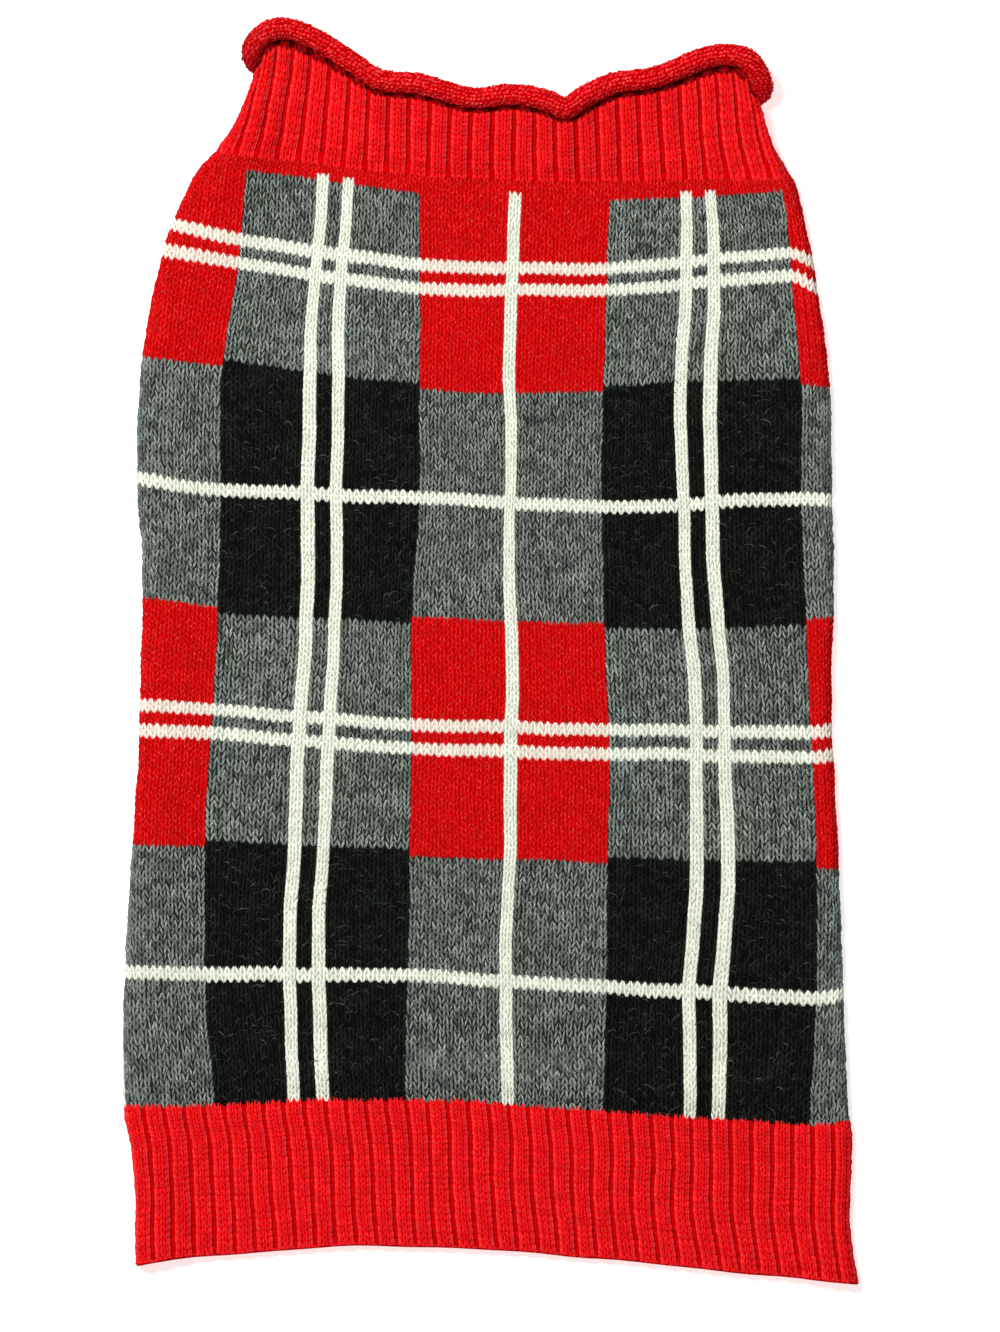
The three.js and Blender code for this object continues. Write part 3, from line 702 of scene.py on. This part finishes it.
def lay_stitches_tree():
    tree = new_group(
        "GeometryNodeTree", "Lay the stitches",
        [
            ("Chart", "Geometry", None),
            ("Stitch", "Object", None),
            ("Yarn", "Int", None),
            ("Wobble", "Float", WOBBLE),
            ("Seed", "Int", 3),
            ("Material", "Material", None),
        ],
        [("Knitting", "Geometry")],
    )
    w = Wiring(tree)
    inputs = w.add("NodeGroupInput").outputs
    wobble, seed = inputs["Wobble"], inputs["Seed"]

    def read(name, kind="FLOAT_VECTOR"):
        node = w.add("GeometryNodeInputNamedAttribute", {"data_type": kind}, Name=name)
        return node.outputs["Attribute"]

    same = w.add(
        "FunctionNodeCompare", {"data_type": "INT", "operation": "EQUAL"},
        i2=read("yarn", "INT"), i3=inputs["Yarn"])
    kept = w.add(
        "GeometryNodeSeparateGeometry", {"domain": "FACE"}, Geometry=inputs["Chart"], Selection=same)
    centres = w.add("GeometryNodeMeshToPoints", {"mode": "FACES"}, Mesh=kept)
    turn = w.add(
        "FunctionNodeAxesToRotation", {"primary_axis": "Z", "secondary_axis": "Y"},
        i0=read("out"), i1=read("up"))

    def chance(reach, more, amount):
        """A random vector for each stitch, up to this reach both ways, times the amount."""
        low = tuple(-value for value in reach)
        drawn = w.add(
            "FunctionNodeRandomValue", {"data_type": "FLOAT_VECTOR"},
            i0=low, i1=reach, Seed=w.math("ADD", seed, more))
        return w.vector("SCALE", drawn, amount)

    shift = chance((1, 1, 0.3), 4, w.math("MULTIPLY", wobble, WOBBLE_SHIFT))
    points = w.add("GeometryNodeSetPosition", Geometry=centres, Offset=shift)
    swing = w.add("FunctionNodeEulerToRotation", i0=chance((1, 1, 1), 1, wobble))
    leaned = w.add("FunctionNodeRotateRotation", {"rotation_space": "LOCAL"}, i0=turn, i1=swing)
    factor = w.vector("ADD", chance((1, 1, 1), 2, wobble), (1, 1, 1))
    size = w.vector("MULTIPLY", read("size"), factor)
    shape = w.add("GeometryNodeObjectInfo", Object=inputs["Stitch"]).outputs["Geometry"]
    laid = w.add(
        "GeometryNodeInstanceOnPoints", Points=points, Instance=shape, Rotation=leaned, Scale=size)
    tone = w.add("FunctionNodeRandomValue", {"data_type": "FLOAT"}, Seed=w.math("ADD", seed, 3))
    marked = w.add(
        "GeometryNodeStoreNamedAttribute", {"data_type": "FLOAT", "domain": "INSTANCE"},
        Geometry=laid, Name="tone", Value=tone.outputs[1])
    smooth = w.add(
        "GeometryNodeSetShadeSmooth", Geometry=w.add("GeometryNodeRealizeInstances", Geometry=marked))
    dressed = w.add("GeometryNodeSetMaterial", Geometry=smooth, Material=inputs["Material"])
    w.add("NodeGroupOutput", i0=dressed)
    return tree


stitch_tree = lay_stitches_tree()


# %% A chart mesh from a grid of cloth points, and the finished stitches of one yarn
def put(name, data):
    """An object of this mesh, curve, lamp or camera, in the scene."""
    made = bpy.data.objects.new(name, data)
    bpy.context.collection.objects.link(made)
    return made


def chart(grid, yarn, high=YARN_DEEP, painted_shade=0.0):
    """grid is rows by columns of points, and yarn one number for each face, under 0 for none.
    high is the stitches' height, and the last argument the painted shade that the yarn's shader adds."""
    rows, columns = grid.shape[:2]
    index = np.arange(rows * columns).reshape(rows, columns)
    quads = np.stack([index[1:, :-1], index[1:, 1:], index[:-1, 1:], index[:-1, :-1]], -1)
    across = (grid[:-1, 1:] + grid[1:, 1:] - grid[:-1, :-1] - grid[1:, :-1]) / 2
    up = (grid[:-1, :-1] + grid[:-1, 1:] - grid[1:, :-1] - grid[1:, 1:]) / 2
    out = np.cross(across, up)
    out /= np.linalg.norm(out, axis=-1)[..., None]
    size = [np.linalg.norm(across, axis=-1), np.linalg.norm(up, axis=-1), np.full(yarn.shape, high * MM)]
    keep = yarn >= 0
    mesh = bpy.data.meshes.new("chart")
    mesh.from_pydata(grid.reshape(-1, 3).tolist(), [], quads[keep].tolist())
    for label, kind, numbers, values in (
        ("up", "FLOAT_VECTOR", np.float32, up),
        ("out", "FLOAT_VECTOR", np.float32, out),
        ("size", "FLOAT_VECTOR", np.float32, np.stack(size, -1)),
        ("painted_shade", "FLOAT", np.float32, np.broadcast_to(painted_shade, yarn.shape)),
        ("yarn", "INT", np.int32, yarn),
    ):
        layer = mesh.attributes.new(label, kind, "FACE")
        field = "vector" if kind == "FLOAT_VECTOR" else "value"
        layer.data.foreach_set(field, values[keep].astype(numbers).ravel())
    return put("chart", mesh)


def plain_copy(name, source):
    """The evaluated object as a plain mesh object at the origin."""
    depsgraph = bpy.context.evaluated_depsgraph_get()
    mesh = bpy.data.meshes.new_from_object(source.evaluated_get(depsgraph), depsgraph=depsgraph)
    mesh.name = name
    return put(name, mesh)


def knit(name, charted, stitch, yarn, seed, wobble=WOBBLE, material=None):
    """One piece: this stitch laid on each of the chart's faces that has this yarn."""
    modifier = charted.modifiers.new("stitches", "NODES")
    modifier.node_group = stitch_tree
    given = {
        "Stitch": stitch, "Yarn": yarn, "Wobble": wobble, "Seed": seed,
        "Material": material or YARNS[yarn],
    }
    for item in stitch_tree.interface.items_tree:
        if item.in_out == "INPUT" and item.name in given:
            modifier[item.identifier] = given[item.name]
    bpy.context.view_layer.update()
    piece = plain_copy(name, charted)
    charted.modifiers.remove(modifier)
    for label in ("up", "out", "size", "yarn"):
        if label in piece.data.attributes:
            piece.data.attributes.remove(piece.data.attributes[label])
    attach(piece, "root")
    print(name, "has", sum(len(p.vertices) - 2 for p in piece.data.polygons), "triangles")
    return piece


def clear(piece):
    mesh = piece.data
    bpy.data.objects.remove(piece)
    bpy.data.meshes.remove(mesh)


# %% [markdown]
# ## The cloth under the stitches
# Behind the V's of a real knit lies the rest of the loops. A thin shell on the solid's own form
# stands for them: it closes the cloth, carries the colour between the legs, painted darker there as
# shade, and gives the inside its face. Its grid lines fall on the edges of the colours.

# %% A closed shell between two grids of points
def mark_painted_shade(mesh, painted_shade):
    """How much painted shade each point gets, and an even tone, for the yarn's shader."""
    for label, values in (("painted_shade", painted_shade), ("tone", [0.5] * len(painted_shade))):
        mesh.attributes.new(label, "FLOAT", "POINT").data.foreach_set("value", values)


def cloth_piece(name, points, faces, materials, looks, painted_shade):
    mesh = bpy.data.meshes.new(name)
    mesh.from_pydata(points.tolist(), [], faces)
    for material in materials:
        mesh.materials.append(material)
    mesh.polygons.foreach_set("material_index", looks)
    mesh.polygons.foreach_set("use_smooth", [True] * len(faces))
    mark_painted_shade(mesh, painted_shade)
    mesh.update()
    piece = put(name, mesh)
    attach(piece, "root")
    return piece


def shell(name, outer, inner, material_index, materials, round_tube=False):
    """Closed cloth between two grids of points; material_index has one number for each face."""
    rows, columns = outer.shape[:2]
    spans = columns if round_tube else columns - 1
    points = np.concatenate([outer.reshape(-1, 3), inner.reshape(-1, 3)])
    out = np.arange(rows * columns).reshape(rows, columns)
    inn = out + rows * columns
    faces, looks = [], []

    def add(a, b, c, d, look):
        faces.append((int(a), int(b), int(c), int(d)))
        looks.append(int(look))

    for r in range(rows - 1):
        for c in range(spans):
            n, look = (c + 1) % columns, material_index[r][c]
            add(out[r, c], out[r + 1, c], out[r + 1, n], out[r, n], look)
            add(inn[r, c], inn[r, n], inn[r + 1, n], inn[r + 1, c], look)
        if not round_tube:
            add(out[r, 0], inn[r, 0], inn[r + 1, 0], out[r + 1, 0], material_index[r][0])
            last = spans
            add(out[r, last], out[r + 1, last], inn[r + 1, last], inn[r, last], material_index[r][-1])
    for c in range(spans):
        n = (c + 1) % columns
        add(out[0, c], out[0, n], inn[0, n], inn[0, c], material_index[0][c])
        add(out[-1, c], inn[-1, c], inn[-1, n], out[-1, n], material_index[-1][c])
    # painted shade on the outer face, under the stitches, and none on the inside
    painted_shade = [1.0] * (rows * columns) + [0.0] * (rows * columns)
    return cloth_piece(name, points, faces, materials, looks, painted_shade)


# %% The back panel's shell
def edges_of(marks, step):
    """The marks, with even steps of at most this many stitches between them."""
    found = [marks[0]]
    for a, b in zip(marks, marks[1:]):
        parts = max(1, math.ceil((b - a) / step))
        found += [round(a + (b - a) * (i + 1) / parts) for i in range(parts)]
    return sorted(set(found))


def colour_marks(rows_of_yarn):
    """Where a row of the chart differs from the one before it, with both ends."""
    changes = np.flatnonzero((rows_of_yarn[1:] != rows_of_yarn[:-1]).any(axis=1)) + 1
    return [0, *changes.tolist(), len(rows_of_yarn)]


shell_rows = edges_of(colour_marks(panel_yarn), 5)
shell_columns = edges_of(colour_marks(panel_yarn.T), 2)
coarse = [{**panel[r], "lengths": panel[r]["lengths"][shell_columns]} for r in shell_rows]
looks = panel_yarn[shell_rows[:-1]][:, shell_columns[:-1]]
back_shell = shell(
    "back_panel_cloth", grid_at(coarse, YARN_DEEP), grid_at(coarse, PLAIN_WALL),
    looks, list(YARNS.values()))
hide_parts("back_panel")
print("back panel's shell:", len(shell_rows), "by", len(shell_columns), "grid lines")

# %% [markdown]
# Each yarn is one piece, laid from the same chart. The grey stands less even than the rest. Fibres
# shed by the paler yarns lie over the black squares, so the last piece lays one over every black
# stitch, each turned another way.

# %% The back panel's stitches, one piece for each yarn
EVEN, UNEVEN, LOOSE = 0.07, 0.11, 0.9  # wobbles

panel_chart = chart(grid_at(panel, YARN_DEEP), panel_yarn)
back_knit = [
    knit(f"back_knit_{YARN_NAMES[yarn]}", panel_chart, knit_stitch, yarn, 11 + yarn,
         UNEVEN if yarn == GREY else EVEN)
    for yarn in YARNS
]
back_knit.append(
    knit("back_stray_fibres", panel_chart, stray_fibre, BLACK, 21, LOOSE, STRAY_GREY))
clear(panel_chart)

# %% [markdown]
# ## The ribbed hem and collar
# Two knit wales stand up and two purl wales sink between them. The shell carries the ribs' relief.
# The knit wales get V stitches, one leg more runs along each edge of a rib, catches the light and
# is painted lighter as a highlight, and the grooves get wide, low purl bumps painted darker as shade.
# On the underside the ribs lie pressed flat, so there the same stitches lie on an even face. Where
# the roll overhangs the collar, a painted shadow darkens the ribs: the dark line under the roll.

# %% The relief of the ribs and their places round the tube
RIB_PARTS = [0, 0.11, 0.18, 0.27, 0.5, 0.73, 0.82, 0.89, 1]
RIB_HEIGHTS = [0, 0.08, 0.62, 0.9, 1, 0.9, 0.62, 0.08, 0]
rib_shape = curve_through(RIB_PARTS, RIB_HEIGHTS)
KNIT_EDGES = (0.2, 0.5, 0.8)  # a rib's two knit wales, as parts of its width
CORD_EDGES = (0.13, 0.22, 0.78, 0.87)  # their outer legs, which turn to the side and catch the light
PURL_EDGES = (0.15, 0.85)
SHELL_PARTS = (0, 0.12, 0.2, 0.5, 0.8, 0.88)
GROOVE = 0.3  # the shell sinks this much further between two ribs
PURL_RELIEF = (0.4, 0.15, 0.3)  # a purl bump's height, how far it is sunk, and how much painted shade it gets
RISE_BETWEEN = (0.5, 3.0)  # ribs rise between these heights of the cloth, round the folds


def smooth_step(value, low, high):
    t = np.clip((value - low) / (high - low), 0, 1)
    return t * t * (3 - 2 * t)


def rib_rise(track, lengths, parts, groove):
    """How far the ribs raise the cloth at these lengths, on the upper layer and round the folds."""
    shape = np.resize(rib_shape(parts), len(lengths))
    above = smooth_step(on_girth(track, lengths)[:, 1], *RISE_BETWEEN)
    within = (lengths > track["start"]) & (lengths < track["end"])
    return np.where(within, above * (RIB_RISE * shape - groove * (1 - shape)), 0.0)


def rib_places(track, crowd, ribs, parts):
    """Lengths round the whole tube at these parts of each rib, with as many ribs below as above."""
    start, end, whole = track["start"], track["end"], track["run"][-1]
    steps = (np.arange(ribs)[:, None] + np.array(parts)).ravel() / ribs
    above, below = start + crowd(steps) * (end - start), end + steps * (whole - end + start)
    return np.concatenate([above, below]) % whole


def rib_grid(tube_lines, ribs, parts, depth, groove=0.0, relief=True, sink=0.0):
    """A tube line is the line across, how far the ribs have risen, its lift and its painted shadow."""
    rows = []
    for line, fade, lift, _ in tube_lines:
        track = girth(line, RIB_WALL)
        lengths = rib_places(track, line["crowd"], ribs, parts)
        rise = rib_rise(track, lengths, parts, groove) * fade if relief else 0.0
        rows.append(cloth_row(line, track, lengths, depth + sink * fade, rise=rise, lift=lift))
    return np.array(rows)


# %% The two ribbed tubes: shell, knit wales and purl wales
SEAM_LAP = 0.45  # the knit wales at a seam reach this part of a course over the neighbour


def closed(grid):
    """The tube's grid with its first column again at the end."""
    return np.concatenate([grid, grid[:, :1]], 1)


def hem_line(course):
    shift = -SEAM_GAP / 2 if course == BODY_END else 0.0
    return body_line(course, shift), float(smooth_step(course, BODY_END - 1, BODY_END + 1.5)), 0.0, 0.0


COLLAR_COURSES = 16
RIM_LAP = 1.09  # the ribbing reaches this far, a little under the roll
RIM_PAINTED_SHADOW = 3.8  # painted shadow where the roll overhangs the ribbing: how far the shader darkens the ribs there


def collar_tube_line(up):
    fade = float(smooth_step(up, 0.02, 0.2) * (1 - 0.7 * smooth_step(up, 0.92, 1.0)))
    # painted shadow on the ribs just under the roll
    dark = RIM_PAINTED_SHADOW * float(smooth_step(up, 0.96, 1.02))
    return collar_line(up), fade, COLLAR_LIFT * max(up, 0), dark


def ribbed_tube(node, shell_lines, knit_lines, purl_lines, ribs, seed):
    outer = rib_grid(shell_lines, ribs, SHELL_PARTS, YARN_DEEP, GROOVE)
    inner = rib_grid(shell_lines, ribs, SHELL_PARTS, RIB_WALL, relief=False)
    looks = np.zeros((outer.shape[0] - 1, outer.shape[1]), int)
    cloth = shell(f"{node}_cloth", outer, inner, looks, [RIB_RED], round_tube=True)
    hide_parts(node)
    pieces = []
    for kind, lines_used, parts, wanted, shape, material, high, sink, painted_shade in (
        ("knit", knit_lines, KNIT_EDGES, (1, 1, 0), rib_stitch, RIB_RED, YARN_DEEP, 0, 0),
        ("cord", knit_lines, CORD_EDGES, (1, 0, 1, 0), cord_stitch, CORD_RED_PAINTED_HIGHLIGHT, YARN_DEEP, 0, 0),
        ("purl", purl_lines, PURL_EDGES, (0, 1), groove_stitch, GROOVE_RED_PAINTED_SHADE, *PURL_RELIEF),
    ):
        grid = closed(rib_grid(lines_used, ribs, parts, YARN_DEEP, relief=not sink, sink=sink))
        yarn = np.resize(np.where(wanted, RED, -1), (len(grid) - 1, grid.shape[1] - 1))
        # painted shade of each row: the purls' own and the painted shadow under the roll
        painted_shades = np.array([painted_shade * fade + dark for _, fade, _, dark in lines_used[:-1]])[:, None]
        charted = chart(grid, yarn, high, painted_shades)
        pieces.append(knit(f"{node}_{kind}", charted, shape, RED, seed, EVEN, material))
        clear(charted)
    return cloth, pieces


def hem_lines(start, end):
    return [hem_line(c) for c in np.linspace(start, end, HEM_END - BODY_END + 1)]


def collar_lines(low):
    return [collar_tube_line(up) for up in np.linspace(RIM_LAP, low, COLLAR_COURSES + 1)]


HEM_SHELL = (149, 150, 151, 153, 156, 160, 164, 168, 172, 176)  # courses
COLLAR_SHELL = (RIM_LAP, 0.96, 0.87, 0.74, 0.61, 0.48, 0.35, 0.24, 0.14, 0.07, 0)  # parts of its height
LAST_COURSE = HEM_END - 0.4  # the last knit course stops short of the cast-on edge

hem_cloth, hem_knit = ribbed_tube(
    "hem_band", [hem_line(course) for course in HEM_SHELL],
    hem_lines(BODY_END - SEAM_LAP, LAST_COURSE), hem_lines(BODY_END, LAST_COURSE), HEM_RIBS, 31)
collar_cloth, collar_knit = ribbed_tube(
    "collar", [collar_tube_line(up) for up in COLLAR_SHELL],
    collar_lines(-SEAM_LAP / COLLAR_COURSES), collar_lines(-0.3 / COLLAR_COURSES), COLLAR_RIBS, 41)

# %% The cast-on edge of the hem: one row of loops that lie along it
EDGE_HIGH, EDGE_PARTS = 0.62, (0.05, 0.275, 0.5, 0.725)  # in courses, and the loops' places on a rib
edge_grid = closed(
    rib_grid([hem_line(HEM_END - EDGE_HIGH), hem_line(HEM_END)], HEM_RIBS, EDGE_PARTS, YARN_DEEP))
edge_chart = chart(edge_grid, np.full((1, edge_grid.shape[1] - 1), RED))
hem_knit.append(knit("hem_band_cast_on", edge_chart, purl_stitch, RED, 35, 0.1, RIB_RED))
clear(edge_chart)

# %% [markdown]
# ## The rolled edge
# Plain knitting curls towards its knit side, so the collar's last courses roll outwards and show
# their purl side. The roll is a tube along the rim, all round the neck, with rows of purl bumps.

# %% The roll's tube and its bumps
ROLL_ROUND, ROLL_LONG, BUMP_DEEP = 15, 290, 0.38  # bumps round and along it, and their height
TUBE_ROUND, TUBE_LONG = 12, 180  # faces of the tube under them
TURNED_SHADE = 1.2  # the painted shade for each part that the roll's face turns away from facing up
rim_line = collar_line(1.0)
rim = girth(rim_line, RIB_WALL)
rim_long = rim["run"][-1]


def roll_middle(s):
    """The roll's middle at these lengths along the rim, and the way out of the tube there."""
    at = on_girth(rim, s % rim_long)
    far = ROLL_RADIUS - RIB_WALL
    y = roll_y(at[:, 0], at[:, 3])
    out = np.column_stack([at[:, 2], np.zeros(len(at)), at[:, 3]])
    return np.column_stack([at[:, 0], y, at[:, 1] + COLLAR_LIFT]) + out * far, out


def roll_ring(s, angle, radius):
    """One line along the roll, at this angle round it."""
    middle, out = roll_middle(s)
    along = roll_middle(s + 1)[0] - roll_middle(s - 1)[0]
    along /= np.linalg.norm(along, axis=1)[:, None]
    aside = np.cross(along, out)
    aside /= np.linalg.norm(aside, axis=1)[:, None]
    up = np.cross(aside, along)
    at = middle + radius * (math.cos(angle) * up + math.sin(angle) * aside)
    return placed(at[:, 0], at[:, 1], np.maximum(at[:, 2], ROLL_RADIUS - radius))


fine = np.linspace(0, rim_long, 1201)
middle, out = roll_middle(fine)
outside = middle + out * ROLL_RADIUS * 0.8
outside_run = np.concatenate([[0], np.cumsum(np.linalg.norm(outside[1:] - outside[:-1], axis=1))])


def roll_lengths(parts):
    """Lengths along the rim that lie evenly on the roll's outside, also where it turns over."""
    even = np.interp(parts % 1, outside_run / outside_run[-1], fine / rim_long)
    return (np.floor(parts) + even) * rim_long


def roll_grid(radius, rounds, steps, slant):
    """Lines along the roll; each starts a part of a step further, so the bumps lie in slanted rows."""
    parts = [(np.arange(steps + 1) + slant * r) / steps for r in range(rounds + 1)]
    return np.array([
        roll_ring(roll_lengths(part), 2 * np.pi * r / rounds, radius) for r, part in enumerate(parts)
    ])


tube = roll_grid(ROLL_RADIUS - BUMP_DEEP, TUBE_ROUND, TUBE_LONG, 0)[:-1, :-1].reshape(-1, 3)
index = np.arange(len(tube)).reshape(TUBE_ROUND, TUBE_LONG)
turned, further = np.roll(index, -1, 0), np.roll(index, -1, 1)
tube_faces = np.stack([index, turned, np.roll(turned, -1, 1), further], -1).reshape(-1, 4).tolist()
# the tube under the roll's bumps gets full painted shade
collar_roll = cloth_piece(
    "collar_roll_cloth", tube, tube_faces, [ROLL_RED], [0] * len(tube_faces), [1.0] * len(tube))
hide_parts("collar_roll")

bump_lengths = roll_lengths((np.arange(ROLL_LONG) + 0.5) / ROLL_LONG)
# painted shade where the roll's face turns away from facing up, at its ends and underside
painted_turn_shade = TURNED_SHADE * (1 - roll_middle(bump_lengths)[1][:, 2])
bump_chart = chart(
    roll_grid(ROLL_RADIUS - BUMP_DEEP, ROLL_ROUND, ROLL_LONG, 0.5),
    np.full((ROLL_ROUND, ROLL_LONG), RED), BUMP_DEEP, painted_turn_shade)
roll_bumps = knit("collar_roll_purl", bump_chart, bead_stitch, RED, 51, 0.16, ROLL_RED)
clear(bump_chart)

# %% [markdown]
# ## The belly panel
# It lies under the back panel and is seen only from below: plain red knitting between the back
# panel's two edges, with an oval hole for each front leg.

# %% The belly panel's shell and stitches
BELLY_WALES = 58
HOLE_CLEAR = 1.2  # no stitch lies nearer to a leg hole's edge


def belly_row(row):
    ends = on_girth(row["track"], row["lengths"][[0, -1]])[:, 0]
    x = np.linspace(ends[1] - SEAM_GAP, ends[0] + SEAM_GAP, BELLY_WALES + 1)
    return np.column_stack([x, row["line"]["y"](x), np.full_like(x, YARN_DEEP)])


belly = np.array([belly_row(row) for row in panel])
middles = (belly[1:, 1:] + belly[:-1, :-1]) / 2
inside = np.zeros(middles.shape[:2], bool)
for hx, hy, half_wide, half_long in LEG_HOLES:
    across = (middles[..., 0] - hx) / (half_wide + HOLE_CLEAR)
    along = (middles[..., 1] - hy) / (half_long + HOLE_CLEAR)
    inside |= np.hypot(across, along) < 1
belly_chart = chart(placed(*np.moveaxis(belly, -1, 0)), np.where(inside, -1, RED))
belly_knit = knit("belly_knit", belly_chart, light_stitch, RED, 61)
clear(belly_chart)


def flat_cloth(name, outline, holes, low, high):
    """A flat shell with holes, from a filled curve that is turned into a mesh."""
    curve = bpy.data.curves.new(name, "CURVE")
    curve.dimensions, curve.fill_mode = "2D", "BOTH"
    curve.extrude = (high - low) / 2 * MM
    for loop in (outline, *holes):
        spline = curve.splines.new("POLY")
        spline.points.add(len(loop) - 1)
        for point, (x, y) in zip(spline.points, loop, strict=True):
            point.co = (*placed(x, y, 0), 1)
        spline.use_cyclic_u = True
    source = put(name, curve)
    bpy.context.view_layer.update()
    piece = plain_copy(f"{name}_cloth", source)
    bpy.data.objects.remove(source)
    solid = bmesh.new()
    solid.from_mesh(piece.data)
    bmesh.ops.remove_doubles(solid, verts=solid.verts, dist=0.01 * MM)
    bmesh.ops.translate(solid, verts=solid.verts, vec=(0, 0, (low + high) / 2 * MM))
    bmesh.ops.recalc_face_normals(solid, faces=solid.faces)
    solid.to_mesh(piece.data)
    solid.free()
    return piece


belly_outline = [tuple(p) for p in np.concatenate([
    belly[::8, -1, :2], belly[-1, ::-6, :2], belly[::-8, 0, :2], belly[0, ::6, :2],
])]
around = np.linspace(0, 2 * np.pi, 48, endpoint=False)
leg_holes = [
    [(hx + wide * math.cos(a), hy + tall * math.sin(a)) for a in around]
    for hx, hy, wide, tall in LEG_HOLES
]
belly_cloth = flat_cloth("belly_panel", belly_outline, leg_holes, YARN_DEEP, PLAIN_WALL)
belly_cloth.data.materials.append(YARNS[RED])
middle_height = (YARN_DEEP + PLAIN_WALL) / 2 * MM
# painted shade on the face under the stitches
mark_painted_shade(belly_cloth.data, [float(v.co.z < middle_height) for v in belly_cloth.data.vertices])
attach(belly_cloth, "root")
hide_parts("belly_panel")

# %% [markdown]

# %% [markdown]
# ## The floor, the light and the camera
# The garment was photographed from straight above in strong soft light from beyond its collar, and
# cut out on white. A pale floor, one large key light and a bright sky give the same.

# %% The floor
FLOOR_HALF, FLOOR_DROP = 3.0, 0.0002  # metres; it lies this little under the cloth
corners = [(-1, -1), (1, -1), (1, 1), (-1, 1)]
floor_mesh = bpy.data.meshes.new("floor")
floor_mesh.from_pydata(
    [(x * FLOOR_HALF, y * FLOOR_HALF, -FLOOR_DROP) for x, y in corners], [], [(0, 1, 2, 3)])
floor = put("floor", floor_mesh)
pale = bpy.data.materials.new("pale floor")
pale.use_nodes = True
set_inputs(pale.node_tree.nodes["Principled BSDF"], {
    "Base Color": (0.95, 0.95, 0.95, 1), "Roughness": 0.9,
    "Emission Color": (1, 1, 1, 1), "Emission Strength": 0.6,
})
floor_mesh.materials.append(pale)


# %% The lights
light = bpy.data.lights.new("key", "AREA")
light.shape, light.size, light.energy = "SQUARE", 0.6, 43
lamp = put("key", light)
lamp.location = (-0.75, 0.85, 1.9)
lamp.rotation_euler = (-Vector(lamp.location)).to_track_quat("-Z", "Y").to_euler()
world = bpy.data.worlds.new("bright room")
world.use_nodes = True
set_inputs(world.node_tree.nodes["Background"], {"Color": (1, 1, 1, 1), "Strength": 0.31})
bpy.context.scene.world = world
bpy.context.scene.view_settings.view_transform = "Standard"

# %% The camera, straight above
MM_PER_PIXEL = 0.378  # at the garment
PHOTO_SIZE, PHOTO_MIDDLE = (1000, 1332), (500, 666)
TABLE_PIXEL = (490, 652)  # the photograph's pixel at the tables' zero
LENS, SENSOR = 600.0, 36.0
high = PHOTO_SIZE[1] * MM_PER_PIXEL / SENSOR * LENS * MM
camera_data = bpy.data.cameras.new("camera")
camera_data.lens, camera_data.sensor_width = LENS, SENSOR
camera = put("camera", camera_data)
camera.location = (
    ((PHOTO_MIDDLE[0] - TABLE_PIXEL[0]) * MM_PER_PIXEL - TABLE_MIDDLE[0]) * MM,
    ((TABLE_PIXEL[1] - PHOTO_MIDDLE[1]) * MM_PER_PIXEL - TABLE_MIDDLE[1]) * MM,
    high,
)
bpy.context.scene.camera = camera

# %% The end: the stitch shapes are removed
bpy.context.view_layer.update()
for shape in SHAPES:
    clear(shape)
